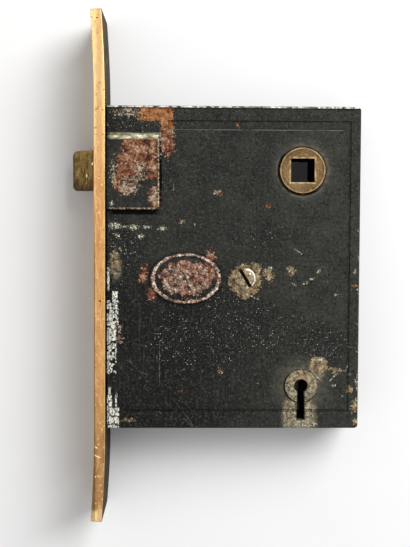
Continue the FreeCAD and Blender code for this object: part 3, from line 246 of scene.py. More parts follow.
class Surface:
    """The layers of one material, laid from the body colour upwards."""

    def __init__(self, name: str, colour: str, roughness: float, metallic: float = 0.0) -> None:
        """Start the material with its body colour.

        Args:
            name: what the real finish is.
            colour: the body colour, as sRGB hex.
            roughness: the body's roughness.
            metallic: 1 for bare metal, 0 for paint and rust.
        """
        self.material = bpy.data.materials.new(name)
        self.material.use_nodes = True
        self.material.node_tree.nodes.clear()
        self.add = partial(add_node, self.material.node_tree)
        metres = self.add("ShaderNodeTexCoord").outputs["Object"]
        # all patterns are measured from this one place in mm, which keeps the shader's stack small
        wires = {0: metres, "Scale": 1 / MM}
        self.place = self.add("ShaderNodeVectorMath", {"operation": "SCALE"}, wires).outputs[0]
        self.along = self.add("ShaderNodeSeparateXYZ", None, {0: self.place}).outputs
        self.colour: NodeSocket | tuple = linear(colour)
        self.roughness: Mask = roughness
        self.metallic: Mask = metallic
        self.height: Mask = 0.0
        self.space = "3D"

    def texture(
        self,
        kind: str,
        size: float,
        wires: dict | None = None,
        stretch: tuple = (1, 1, 1),
        turn: float = 0.0,
        shift: float = 0.0,
        settings: dict | None = None,
        place: NodeSocket | None = None,
    ) -> Node:
        """Add a pattern of a real size.

        Args:
            kind: the texture's type name.
            size: length of one step of the pattern, in mm.
            wires: the texture's other inputs.
            stretch: how much longer a step is along X, Y and Z.
            turn: turn about Z, in degrees.
            shift: offset in mm, so that two patterns differ.
            settings: the texture's own properties.
            place: the surface's place, where it is warped first.

        Returns:
            The texture node.
        """
        steps = {
            "Vector": place or self.place,
            "Location": (shift,) * 3,
            "Rotation": (0.0, 0.0, math.radians(turn)),
            "Scale": tuple(size * s for s in stretch),
        }
        counted = self.add("ShaderNodeMapping", {"vector_type": "TEXTURE"}, steps)
        space = {NOISE: "noise_dimensions", CELLS: "voronoi_dimensions"}[kind]
        settings = {space: self.space, **(settings or {})}
        return self.add(kind, settings, {"Vector": counted, "Scale": 1.0, **(wires or {})})

    def strayed(self, stray: float, size: float = 2.2) -> list[Mask]:
        """Give the surface's X and Y in mm, strayed by noise.

        Args:
            stray: how far they stray, in mm.
            size: width of the noise, in mm.

        Returns:
            X and Y.
        """
        pull = self.texture(NOISE, size, {"Detail": 4.0, "Roughness": 0.75})
        parts = self.add(*CHANNELS, {"Color": pull.outputs["Color"]}).outputs
        centred = [self.add(*PLUS, {0: parts[i], 1: -0.5}) for i in (0, 1)]
        wires = [{0: centred[i], 1: 2 * stray, 2: self.along[i]} for i in (0, 1)]
        return [self.add(*TIMES_PLUS, w) for w in wires]

    def clouds(self, size: float, low: float, high: float, detail: float = 3.0, **place: object) -> Mask:
        """Soft uneven patches of about a real size.

        Args:
            size: width of a patch, in mm.
            low: noise level below which the mask is 0.
            high: noise level above which it is 1.
            detail: octaves of finer noise.
            place: stretch, turn and shift, as texture has them.

        Returns:
            The mask.
        """
        level = self.texture(NOISE, size, {"Detail": detail, "Roughness": 0.6}, **place)
        return self.add(*FADE, {0: level.outputs["Fac"], 1: low, 2: high})

    def specks(self, size: float, share: Mask, largest: float = 0.45, **place: object) -> Mask:
        """Separate specks of random sizes.

        Args:
            size: mean distance between neighbours if every cell had one, in mm.
            share: how many of the cells hold a speck.
            largest: radius of the largest speck, as a share of the cell.
            place: stretch, turn and shift, as texture has them.

        Returns:
            The mask.
        """
        cells = self.texture(CELLS, size, **place)
        chance = self.add(*CHANNELS, {"Color": cells.outputs["Color"]})
        some = self.add(*BELOW, {0: chance.outputs[0], 1: share})
        reach = self.add(*TIMES, {0: chance.outputs[1], 1: largest})
        inside = self.add(*MINUS, {0: reach, 1: cells.outputs["Distance"]})
        soft = self.add(*FADE, {0: inside, 1: 0.0, 2: 0.12})
        return self.add(*TIMES, {0: soft, 1: some})

    def hairlines(self, size: float, width: float, keep: float, **place: object) -> Mask:
        """Broken thin scratches.

        Args:
            size: distance between scratches, in mm.
            width: half width of a scratch, as a share of that distance.
            keep: noise level that a stretch needs to be scratched at all.
            place: stretch, turn and shift, as texture has them.

        Returns:
            The mask.
        """
        level = self.texture(NOISE, size, {"Detail": 1.0}, **place)
        off = self.add(*MINUS, {0: level.outputs["Fac"], 1: 0.5})
        far = self.add(*UNSIGNED, {0: off})
        line = self.add(*FADE, {0: far, 1: width, 2: 0.0})
        return self.add(*TIMES, {0: line, 1: self.clouds(size * 2.5, keep, keep + 0.05, 2.0, shift=31.0)})

    def edges(self, width: float) -> Mask:
        """Find the sharp edges.

        Args:
            width: how far from an edge the mask reaches, in mm.

        Returns:
            The mask, 0 on a flat.
        """
        rounded = self.add("ShaderNodeBevel", {"samples": 4}, {"Radius": width * MM})
        true = self.add("ShaderNodeNewGeometry").outputs["Normal"]
        agree = self.add("ShaderNodeVectorMath", {"operation": "DOT_PRODUCT"}, {0: rounded, 1: true})
        return self.add(*FADE, {0: agree.outputs["Value"], 1: 0.99, 2: 0.86})

    def hollows(self, reach: float) -> Mask:
        """Find corners and recesses.

        Args:
            reach: how near the walls that close them in are, in mm.

        Returns:
            The mask, 0 in the open.
        """
        open_air = self.add("ShaderNodeAmbientOcclusion", {"samples": 4}, {"Distance": reach * MM})
        return self.add(*FADE, {0: open_air.outputs["AO"], 1: 0.95, 2: 0.35})

    def between(self, axis: str, start: float, end: float, soft: float = 0.3) -> Mask:
        """Give 1 between two planes.

        Args:
            axis: X, Y or Z.
            start: the lower plane, in mm.
            end: the upper plane, in mm.
            soft: width of the change, in mm.

        Returns:
            The mask.
        """
        apart = self.along[axis]
        half = soft / 2
        after = self.add(*FADE, {0: apart, 1: start - half, 2: start + half})
        until = self.add(*FADE, {0: apart, 1: end + half, 2: end - half})
        return self.add(*TIMES, {0: after, 1: until})

    def away(self, x: float, y: float) -> Mask:
        """Measure the distance from an axis along Z.

        Args:
            x: the axis, in mm.
            y: the axis, in mm.

        Returns:
            The distance, in mm.
        """
        sides = [self.add(*MINUS, {0: self.along[i], 1: at}) for i, at in enumerate((x, y))]
        squares = [self.add(*TIMES, {0: side, 1: side}) for side in sides]
        both = self.add(*PLUS, {0: squares[0], 1: squares[1]})
        return self.add(*ROOT, {0: both})

    def ring(self, x: float, y: float, radius: float, width: float) -> Mask:
        """Give 1 on a ring about an axis along Z.

        Args:
            x: the axis, in mm.
            y: the axis, in mm.
            radius: middle of the ring, in mm.
            width: width of the ring, in mm.

        Returns:
            The mask.
        """
        off = self.add(*UNSIGNED, {0: self.add(*MINUS, {0: self.away(x, y), 1: radius})})
        return self.add(*FADE, {0: off, 1: width / 2, 2: width / 5})

    def turned(self, x: float, y: float, pitch: float, low: float, high: float) -> Mask:
        """Rings left by a lathe tool about an axis along Z.

        Args:
            x: the axis, in mm.
            y: the axis, in mm.
            pitch: distance from ring to ring, in mm.
            low: noise level below which the mask is 0.
            high: noise level above which it is 1.

        Returns:
            The mask.
        """
        wires = {"W": self.away(x, y), "Scale": 1 / pitch, "Detail": 2.0}
        level = self.add(NOISE, {"noise_dimensions": "1D"}, wires)
        return self.add(*FADE, {0: level.outputs["Fac"], 1: low, 2: high})

    def facing(self, axis: str, sign: float = 1.0) -> Mask:
        """Give 1 on faces that look along an axis of the piece.

        Args:
            axis: X, Y or Z.
            sign: 1 for faces that look up the axis, -1 for those that look down it.

        Returns:
            The mask.
        """
        normal = self.add("ShaderNodeTexCoord").outputs["Normal"]
        part = self.add("ShaderNodeSeparateXYZ", None, {0: normal}).outputs[axis]
        return self.add(*FADE, {0: part, 1: 0.55 * sign, 2: 0.85 * sign})

    def mottle(
        self, size: float, tones: Tones, detail: float = 4.0, crisp: float = 0.65, **place: object
    ) -> NodeSocket:
        """Mix several colours by noise.

        Args:
            size: width of a patch, in mm.
            tones: the colours.
            detail: octaves of finer noise.
            crisp: how strong each octave is beside the one before.
            place: stretch, turn and shift, as texture has them.

        Returns:
            The colour.
        """
        level = self.texture(NOISE, size, {"Detail": detail, "Roughness": crisp}, **place)
        node = self.add("ShaderNodeValToRGB", None, {"Fac": level.outputs["Fac"]})
        bar = node.color_ramp.elements
        while len(bar) < len(tones.value):
            bar.new(1.0)
        for element, (position, code) in zip(bar, tones.value):
            element.position = position
            element.color = linear(code)
        return node.outputs["Color"]

    def grained(
        self, colour: NodeSocket, size: float, dark: str, pale: str, share: float, shift: float = 0.0
    ) -> NodeSocket:
        """Scatter darker and paler grains of random strength over a colour.

        Args:
            colour: the colour under them.
            size: width of a grain, in mm.
            dark: the darkest grain, as sRGB hex.
            pale: the palest grain, as sRGB hex.
            share: share of the grains that are darker, and of those that are paler.
            shift: offset in mm, so that two patterns differ.

        Returns:
            The colour with its grains.
        """
        cells = self.texture(CELLS, size, shift=shift)
        chance = self.add(*CHANNELS, {"Color": cells.outputs["Color"]})
        for channel, code in ((0, dark), (1, pale)):
            level = self.add(*FADE, {0: chance.outputs[channel], 1: share, 2: 0.0})
            colour = self.add(*BLEND, {0: level, 6: colour, 7: linear(code)}).outputs[2]
        return colour

    def depth(self, marks: tuple[Mark, ...], ragged: float, size: float = 2.2) -> Mask:
        """Tell how far inside the marks a point lies, in mm, and 0 outside.

        Args:
            marks: the places.
            ragged: how far the rims stray, in mm.
            size: width of the noise that they stray by, in mm.

        Returns:
            The depth.
        """
        across, up = self.strayed(ragged, size)
        total: Mask = 0.0
        for mark in marks:
            wires = {
                "Across": across,
                "Up": up,
                "So Far": total,
                "X": mark.x,
                "Y": mark.y,
                "Half X": mark.half_x,
                "Half Y": mark.half_y,
                "Turn": math.radians(mark.turn),
            }
            total = self.add("ShaderNodeGroup", {"node_tree": mark_group(mark.boxy)}, wires)
        return total

    def crumbled(self, depth: Mask, crumbs: float, crumb: float = 0.6, **place: object) -> Mask:
        """Break the marks up into a crumbling mask.

        Args:
            depth: the depth inside the marks, in mm.
            crumbs: how deep fine noise eats into them, in mm.
            crumb: width of that noise, in mm.
            place: stretch, turn and shift, as texture has them.

        Returns:
            The mask.
        """
        fine = self.clouds(crumb, 0.3, 0.7, 3.0, **place)
        left = self.add(*TIMES_PLUS, {0: fine, 1: -crumbs, 2: depth})
        return self.add(*FADE, {0: left, 1: 0.02, 2: 0.14})

    def flaked(self, depth: Mask, size: float, share: float, crack: float, **place: object) -> Mask:
        """Break the marks up into flakes with cracks between them.

        Args:
            depth: the depth inside the marks, in mm.
            size: width of a flake, in mm.
            share: share of the flakes that are left.
            crack: half width of a crack, as a share of a flake.
            place: stretch, turn and shift, as texture has them.

        Returns:
            The mask.
        """
        pull = self.texture(NOISE, 1.4, {"Detail": 5.0, "Roughness": 0.75})
        wires = {0: pull.outputs["Color"], 1: (1.7, 1.7, 1.7), 2: self.place}
        where = self.add("ShaderNodeVectorMath", TIMES_PLUS[1], wires).outputs[0]
        cells = self.texture(CELLS, size, place=where, **place)
        chance = self.add(*CHANNELS, {"Color": cells.outputs["Color"]}).outputs[0]
        some = self.add(*BELOW, {0: chance, 1: share})
        gaps = self.texture(CELLS, size, settings={"feature": "DISTANCE_TO_EDGE"}, place=where, **place)
        whole = self.add(*FADE, {0: gaps.outputs["Distance"], 1: crack, 2: crack + 0.08})
        inside = self.add(*FADE, {0: depth, 1: 0.02, 2: 0.12})
        both = self.add(*TIMES, {0: some, 1: whole})
        return self.add(*TIMES, {0: both, 1: inside})

    def lay(
        self,
        mask: Mask | tuple[Mask, ...],
        colour: NodeSocket | str | None = None,
        roughness: Mask | None = None,
        metallic: Mask | None = None,
        rise: float | None = None,
    ) -> None:
        """Lay one more layer over the ones before.

        Args:
            mask: where the layer is. Several masks are multiplied.
            colour: its colour, as sRGB hex or a socket.
            roughness: its roughness.
            metallic: 1 for bare metal, 0 for paint and rust.
            rise: how far it stands up, or lies down where negative, in mm.
        """
        masks = mask if isinstance(mask, tuple) else (mask,)
        where = masks[0]
        for other in masks[1:]:
            where = self.add(*TIMES, {0: where, 1: other})
        if colour is not None:
            top = linear(colour) if isinstance(colour, str) else colour
            self.colour = self.add(*BLEND, {0: where, 6: self.colour, 7: top}).outputs[2]
        if roughness is not None:
            self.roughness = self.add("ShaderNodeMix", None, {0: where, 2: self.roughness, 3: roughness})
        if metallic is not None and metallic != self.metallic:
            self.metallic = self.add("ShaderNodeMix", None, {0: where, 2: self.metallic, 3: metallic})
        if rise is not None:
            self.height = self.add(*TIMES_PLUS, {0: where, 1: rise, 2: self.height})

    def finish(self, edge: float = 0.15, specular: float = 0.5) -> Material:
        """Join the layers to the shader.

        Args:
            edge: radius that sharp edges look rounded by, in mm.
            specular: specular level of the paint or rust.

        Returns:
            The finished material.
        """
        rounded = self.add("ShaderNodeBevel", {"samples": 4}, {"Radius": edge * MM})
        wires = {"Height": self.height, "Distance": MM, "Normal": rounded}
        relief = self.add("ShaderNodeBump", None, wires)
        wires = {
            "Base Color": self.colour,
            "Roughness": self.roughness,
            "Metallic": self.metallic,
            "Specular IOR Level": specular,
            "Normal": relief,
        }
        shader = self.add("ShaderNodeBsdfPrincipled", None, wires)
        self.add("ShaderNodeOutputMaterial", None, {"Surface": shader})
        return self.material


@dataclass(frozen=True)
class Japan:
    """Black japan, a baked asphalt varnish, brushed thinly on cast iron and worn by long use.

    The eye sees a dull greenish black with dust, hairline scratches and bright worn edges.
    """

    name: str
    marks: dict[Kind, tuple[Mark, ...]] | None = None
    body: str = "#090908"
    worn_edge: str = "#8f8a7a"
    specular: float = 0.1

    def make(self) -> Material:
        """Build the material.

        Returns:
            The material.
        """
        s = Surface(self.name, self.body, 0.5)
        # wear of the varnish in patches of some 10, 3 and 0.5 mm, the last the smallest that shows
        s.lay(s.clouds(11.0, 0.35, 0.7), "#151514", 0.6)
        s.lay((s.clouds(3.0, 0.45, 0.7, shift=7.0), 0.4), "#1c1c1a", 0.65)
        self.lay_film_and_sheen(s)
        s.lay(0.5, s.mottle(0.8, Tones.VARNISH, detail=6.0, crisp=0.85))
        # brush strokes in the varnish run along the case, about 0.5 mm apart
        s.lay((s.clouds(0.45, 0.5, 0.75, 2.0, stretch=(1, 20, 1)), 0.5), "#3a3a36", rise=0.006)
        s.lay((s.clouds(0.4, 0.5, 0.8, 2.0, stretch=(10, 1, 1), shift=4.0), 0.5), "#070706", rise=-0.004)
        s.colour = s.grained(s.colour, 0.36, "#050505", "#44443e", 0.08)
        # cast iron's skin shows through the thin varnish: sand grains of about 0.5 mm
        s.lay(s.clouds(0.5, 0.3, 0.7, 2.0), rise=0.02)
        s.lay(s.specks(2.6, 0.06, 0.1, shift=5.0), "#9a9890", 0.8)
        s.lay((s.hairlines(5.0, 0.006, 0.57, turn=35.0, stretch=(1, 7, 1)), 0.6), "#55564e", 0.6)
        dark = s.hairlines(6.0, 0.008, 0.6, turn=-62.0, stretch=(1, 14, 1), shift=9.0)
        s.lay((dark, 0.5), "#060605", 0.6)
        s.lay(s.specks(6.0, 0.09, 0.08, shift=17.0), s.mottle(0.4, Tones.ORANGE_RUST), 0.85, rise=-0.03)
        if self.marks:
            self.lay_marks(s, self.marks)
        s.lay((s.edges(0.22), s.clouds(0.9, 0.53, 0.66, shift=2.0), 0.6), self.worn_edge, 0.45, 0.4)
        # darker in corners and recesses: grime and painted shade
        s.lay(s.hollows(0.9), "#050504", 0.9)
        return s.finish(edge=0.25, specular=self.specular)

    def lay_film_and_sheen(self, s: Surface) -> None:
        """Lay a greyer tone over the right and upper parts of the cap: partly a film of handling, partly
        a painted sheen of the light.

        Args:
            s: the surface that it is laid on.
        """
        across, up = s.strayed(6.0, 18.0)
        right = s.add(*FADE, {0: across, 1: 20.0, 2: 58.0})
        upper = s.add(*FADE, {0: up, 1: -9.0, 2: 6.0, 4: 0.72})
        film_and_sheen = s.add(*GREATER, {0: right, 1: upper})
        s.lay((film_and_sheen, 0.93), s.mottle(5.0, Tones.FILM_AND_SHEEN, detail=3.0), 0.62)

    def lay_marks(self, s: Surface, marks: dict[Kind, tuple[Mark, ...]]) -> None:
        """Lay the cap's own worn places.

        Args:
            s: the surface that they are laid on.
            marks: the places of each kind.
        """
        # these places lie on the flat cap, so their patterns need X and Y only
        s.space = "2D"
        dusty = s.add(*FADE, {0: s.depth(marks[Kind.DUST], 3.0, 6.0), 1: 0.0, 2: 5.5})
        # settled dust and varnish blisters, 0.3 to 0.5 mm across
        s.lay((dusty, s.clouds(0.7, 0.35, 0.6, 5.0, shift=61.0), 0.65), "#0c0c0b", 0.7)
        share = s.add(*TIMES, {0: dusty, 1: 0.42})
        s.lay((s.specks(0.5, share, 0.3, shift=23.0), 0.9), s.mottle(0.9, Tones.DUST), 0.8)
        s.lay((s.specks(0.34, share, 0.3, shift=37.0), 0.5), "#7c7b75", 0.8)
        # painted shadow under and beside the latch pad
        s.lay(s.add(*FADE, {0: s.depth(marks[Kind.GRIME], 0.3), 1: 0.0, 2: 0.2}), "#020202", 0.9)
        self.lay_polish(s, marks[Kind.POLISHED])
        for kind, tones, ragged, crumbs, grains in (
            (Kind.WORN_METAL, Tones.WORN_METAL, 0.9, 0.9, 0.1),
            (Kind.ORANGE_RUST, Tones.ORANGE_RUST, 0.8, 0.7, 0.03),
            (Kind.RED_RUST, Tones.RED_RUST, 0.9, 0.9, 0.06),
            (Kind.PITTED, Tones.PITTED, 1.1, 1.1, 0.3),
        ):
            bare = s.crumbled(s.depth(marks[kind], ragged), crumbs, 0.7)
            rust = s.mottle(2.2, tones, detail=8.0, crisp=0.86, shift=5.0)
            rust = s.grained(rust, 0.36, "#20140f", "#bfae9a", grains, 13.0)
            pits = s.clouds(0.6, 0.4, 0.5, 4.0, shift=41.0) if kind is Kind.PITTED else 1.0
            s.lay((bare, pits), rust, 0.75, 0.2 if kind is Kind.WORN_METAL else 0.0, -0.08)
        self.lay_paint(s, marks)
        lines = s.add(*FADE, {0: s.depth(marks[Kind.SCRATCH], 0.35, 1.3), 1: 0.02, 2: 0.1})
        s.lay((lines, s.clouds(0.5, 0.3, 0.5, shift=33.0), 0.85), s.mottle(0.5, Tones.CRUST), 0.6)
        crust = s.crumbled(s.depth(marks[Kind.PALE_CRUST], 0.6, 1.1), 0.62, 0.45)
        s.lay(crust, s.mottle(0.5, Tones.CRUST), 0.8)
        self.lay_edges(s)
        s.space = "3D"

    def lay_paint(self, s: Surface, marks: dict[Kind, tuple[Mark, ...]]) -> None:
        """Lay the old cream door paint along the plate, cracked into flakes of about 1 mm.

        Args:
            s: the surface that it is laid on.
            marks: the places of each kind.
        """
        cream = s.mottle(1.1, Tones.CREAM, stretch=(1, 2, 1))
        broken = s.depth(marks[Kind.BROKEN_PAINT], 0.4, 1.3)
        holes = s.clouds(0.55, 0.37, 0.47, 4.0, stretch=(1, 1.5, 1), shift=3.0)
        s.lay((s.flaked(broken, 0.8, 0.72, 0.05, shift=4.0), holes), cream, 0.65)
        whole = s.depth(marks[Kind.WHOLE_PAINT], 0.4, 1.3)
        s.lay((s.flaked(whole, 1.5, 0.96, 0.03, stretch=(1, 1.5, 1)), holes), cream, 0.65)

    def lay_polish(self, s: Surface, marks: tuple[Mark, ...]) -> None:
        """Lay the soft-edged places that fingers and keys have rubbed through to brown iron.

        Args:
            s: the surface that they are laid on.
            marks: the places.
        """
        # handled varnish is greyer round the keyhole and the hub
        for (x, y), outer, inner, share in ((KEYHOLE, 10.0, 5.0, 0.6), (HUB, 10.0, 6.3, 0.45)):
            near = s.add(*FADE, {0: s.away(x, y), 1: outer, 2: inner})
            s.lay((near, s.clouds(1.2, 0.15, 0.75, 6.0, shift=x), share), "#5f5d52", 0.7)
        deep = s.depth(marks, 0.9)
        soft = s.add(*FADE, {0: deep, 1: 0.0, 2: 1.9})
        brown = s.mottle(1.1, Tones.HANDLED, detail=7.0, shift=2.0)
        rubbed = (soft, s.clouds(0.9, 0.2, 0.5, 5.0, shift=15.0), 0.95)
        s.lay(rubbed, s.grained(brown, 0.4, "#30281b", "#c2b496", 0.12), 0.55, 0.2)
        # the keyhole's boss: rust on its top, a shadow at its lower left and a bright rim
        boss = s.add(*FADE, {0: deep, 1: 1.4, 2: 3.2})
        upper = s.between("Y", -32.0, -26.0, 3.0)
        s.lay((boss, upper, s.clouds(1.5, 0.4, 0.6, shift=19.0), 0.75), "#a3794a", 0.6)
        lower_left = self.lower_left(s, 26.5, 19.5)
        s.lay((s.ring(*KEYHOLE, 4.62, 0.62), lower_left, s.clouds(1.2, 0.3, 0.5)), "#0d0b08", 0.9)
        s.lay((s.ring(*KEYHOLE, 4.25, 0.5), s.clouds(0.8, 0.48, 0.6, shift=8.0), 0.45), "#cdbb97", 0.5)

    def lower_left(self, s: Surface, start: float, full: float) -> Node:
        """Mask the side of a round form that looks away from the light.

        Args:
            s: the surface.
            start: sum of X and Y in mm at which the mask is still 0.
            full: the lower sum at which it is 1.

        Returns:
            The mask.
        """
        slope = s.add(*PLUS, {0: s.along["X"], 1: s.along["Y"]})
        return s.add(*FADE, {0: slope, 1: start, 2: full})

    def lay_edges(self, s: Surface) -> None:
        """Lay the light lines where hands and tools have rubbed the cap's edges, the painted highlights
        on the rim line and the latch pad's upper edge, and the painted shadow round the hub.

        Args:
            s: the surface that they are laid on.
        """
        # the cap's upper edge, the dark seam under it, and a painted highlight at the top of the rim line
        edge = (s.between("Y", 43.98, 44.36, 0.1), s.clouds(1.6, 0.28, 0.46, stretch=(4, 1, 1)))
        s.lay(edge, s.mottle(0.8, Tones.CAP_EDGE, stretch=(2, 1, 1)), 0.4, 0.3)
        s.lay((s.between("Y", 43.55, 43.86, 0.1), 0.6), "#060605", 0.9)
        line = (s.between("Y", 37.85, 38.07, 0.1), s.between("X", 18.4, 66.5))
        s.lay((*line, s.clouds(1.5, 0.25, 0.55, stretch=(5, 1, 1))), "#62635b", 0.5)
        # a painted highlight on the latch pad's upper edge, and wear on its right side and its foot
        top = (s.between("Y", 35.35, 36.8, 0.9), s.between("X", 2.6, 16.2, 1.6))
        streaks = s.clouds(1.2, 0.12, 0.46, stretch=(3, 1, 1))
        s.lay((*top, streaks), s.mottle(0.8, Tones.PAD_TOP_GLINT, stretch=(3, 1, 1)), 0.45)
        pad = s.between("Z", 8.5, 9.8, 0.3)
        tan = s.mottle(0.7, Tones.PAD_SIDE, shift=6.0)
        worn = s.clouds(1.2, 0.34, 0.5, shift=6.0)
        s.lay((pad, s.between("X", 15.75, 16.2, 0.15), s.between("Y", 16.0, 36.0), worn), tan, 0.5)
        s.lay((pad, s.between("Y", 16.05, 16.55, 0.15), s.between("X", 2.4, 16.2), worn), tan, 0.5)
        # round the hub: a worn ring, and a painted shadow on its lower left side
        s.lay((s.ring(*HUB, 7.1, 1.1), s.clouds(1.6, 0.36, 0.64), 0.5), "#6f6556", 0.5)
        lower_left = self.lower_left(s, 86.5, 79.5)
        s.lay((s.ring(*HUB, 6.65, 0.95), lower_left), "#070502", 0.9)


@dataclass(frozen=True)
class AgedMetal:
    """Bare metal that has dulled: a body colour, darker tarnish, brighter rubs and fine tool marks."""

    name: str
    body: str
    tarnish: str
    rubbed: str
    roughness: float = 0.4
    metallic: float = 1.0
    mottle: float = 3.0
    grain: tuple[float, float, float] = (1.0, 1.0, 1.0)

    def make(self) -> Material:
        """Build the material."""
        return self.layers().finish(edge=0.2)

    def layers(self) -> Surface:
        """Lay the metal's layers.

        Returns:
            The surface, for a finish that adds more.
        """
        s = Surface(self.name, self.body, self.roughness, self.metallic)
        s.lay(s.clouds(self.mottle, 0.4, 0.66, 5.0), self.tarnish, self.roughness + 0.15)
        s.lay(s.clouds(self.mottle / 3, 0.52, 0.72, shift=3.0), self.rubbed, self.roughness - 0.08)
        # file and polishing marks, about 0.3 mm apart
        s.lay((s.clouds(0.3, 0.35, 0.65, 2.0, stretch=self.grain), 0.7), self.tarnish, rise=0.008)
        s.colour = s.grained(s.colour, 0.4, self.tarnish, self.rubbed, 0.08)
        s.lay(s.specks(1.4, 0.14, 0.26, shift=9.0), self.tarnish, self.roughness + 0.25, rise=-0.03)
        s.lay((s.edges(0.3), s.clouds(1.0, 0.35, 0.6)), self.rubbed, self.roughness - 0.1)
        # darker in corners and recesses: grime and painted shade
        s.lay(s.hollows(0.8), "#1c150d", 0.8)
        return s


@dataclass(frozen=True)
class HubBrass(AgedMetal):
    """Cast brass of the hub, turned on its journals.

    The eye sees fine rings, a bright rim, black oil and painted shade in the square, and a painted
    highlight on its lower edge.
    """

    def make(self) -> Material:
        """Build the material.

        Returns:
            The material.
        """
        s = self.layers()
        s.lay((s.turned(*HUB, 0.45, 0.4, 0.62), 0.6), self.rubbed, rise=0.012)
        s.lay((s.turned(*HUB, 0.7, 0.5, 0.7), 0.6), "#5b4830", rise=-0.01)
        s.lay((s.ring(*HUB, 6.08, 0.36), s.clouds(2.0, 0.42, 0.6), 0.4), "#c4ac84", 0.35)
        s.lay((s.ring(*HUB, 5.75, 0.35), s.clouds(2.5, 0.4, 0.6, shift=9.0), 0.6), "#47381f", 0.6)
        # the square's worn lip, a painted highlight on its lower edge, and its walls dark with oil and
        # painted shade
        lip = (s.between("X", 51.75, 59.25, 0.1), s.between("Y", 23.3, 30.7, 0.1))
        s.lay((*lip, s.clouds(1.4, 0.4, 0.6, shift=4.0), 0.5), "#c2a980", 0.4)
        s.lay((s.between("X", 51.9, 59.1, 0.1), s.between("Y", 23.45, 23.75, 0.1), 0.45), "#b8a786", 0.5)
        well = (s.between("X", 52.1, 58.9, 0.04), s.between("Y", 23.6, 30.4, 0.04))
        s.lay((*well, s.between("Z", -9.0, 7.85, 0.2)), "#060504", 0.9, 0.0)
        return s.finish(edge=0.25, specular=0.08)


@dataclass(frozen=True)
class LatchBrass(AgedMetal):
    """Dark brass of the latch head, dulled by grease, with two fresh bright nicks from the strike."""

    nicks: tuple[Mark, ...] = ()

    def make(self) -> Material:
        """Build the material.

        Returns:
            The material.
        """
        s = self.layers()
        s.lay(0.8, s.mottle(2.0, Tones.LATCH, detail=6.0, stretch=(1, 1.6, 1)))
        # paler above, and darker towards the lower edge and the tip
        for axis, start, end, soft, share, colour, roughness in (
            ("Y", 30.8, 40.0, 3.0, 0.5, "#9d8444", None),
            ("Y", 10.0, 24.8, 4.0, 0.7, "#3a2810", 0.5),
            ("Y", 10.0, 22.0, 0.6, 0.7, "#1d1408", 0.6),
            ("X", -12.0, -8.1, 0.6, 0.6, "#2c2210", 0.6),
        ):
            s.lay((s.between(axis, start, end, soft), share), colour, roughness)
        # grease, rubs and stains, 0.6 to 2.4 mm wide
        for size, low, high, detail, long, shift, share, colour, roughness in (
            (2.4, 0.46, 0.6, 4.0, 1.8, 29.0, 0.5, "#45300c", 0.5),
            (0.7, 0.5, 0.64, 4.0, 2.0, 17.0, 0.4, "#b39a5a", 0.4),
            (0.6, 0.52, 0.64, 4.0, 1.0, 19.0, 0.6, "#4b3512", 0.5),
            (1.4, 0.55, 0.65, 3.0, 1.0, 11.0, 0.6, "#6a4220", 0.5),
        ):
            spots = s.clouds(size, low, high, detail, stretch=(1, long, 1), shift=shift)
            s.lay((spots, share), colour, roughness)
        s.lay((s.between("X", -2.6, -1.3, 0.5), 0.7), "#57330f", 0.5)
        fresh = s.add(*FADE, {0: s.depth(self.nicks, 0.15), 1: 0.0, 2: 0.12})
        s.lay(fresh, "#f4e2b4", 0.3, rise=-0.08)
        return s.finish(edge=0.35)


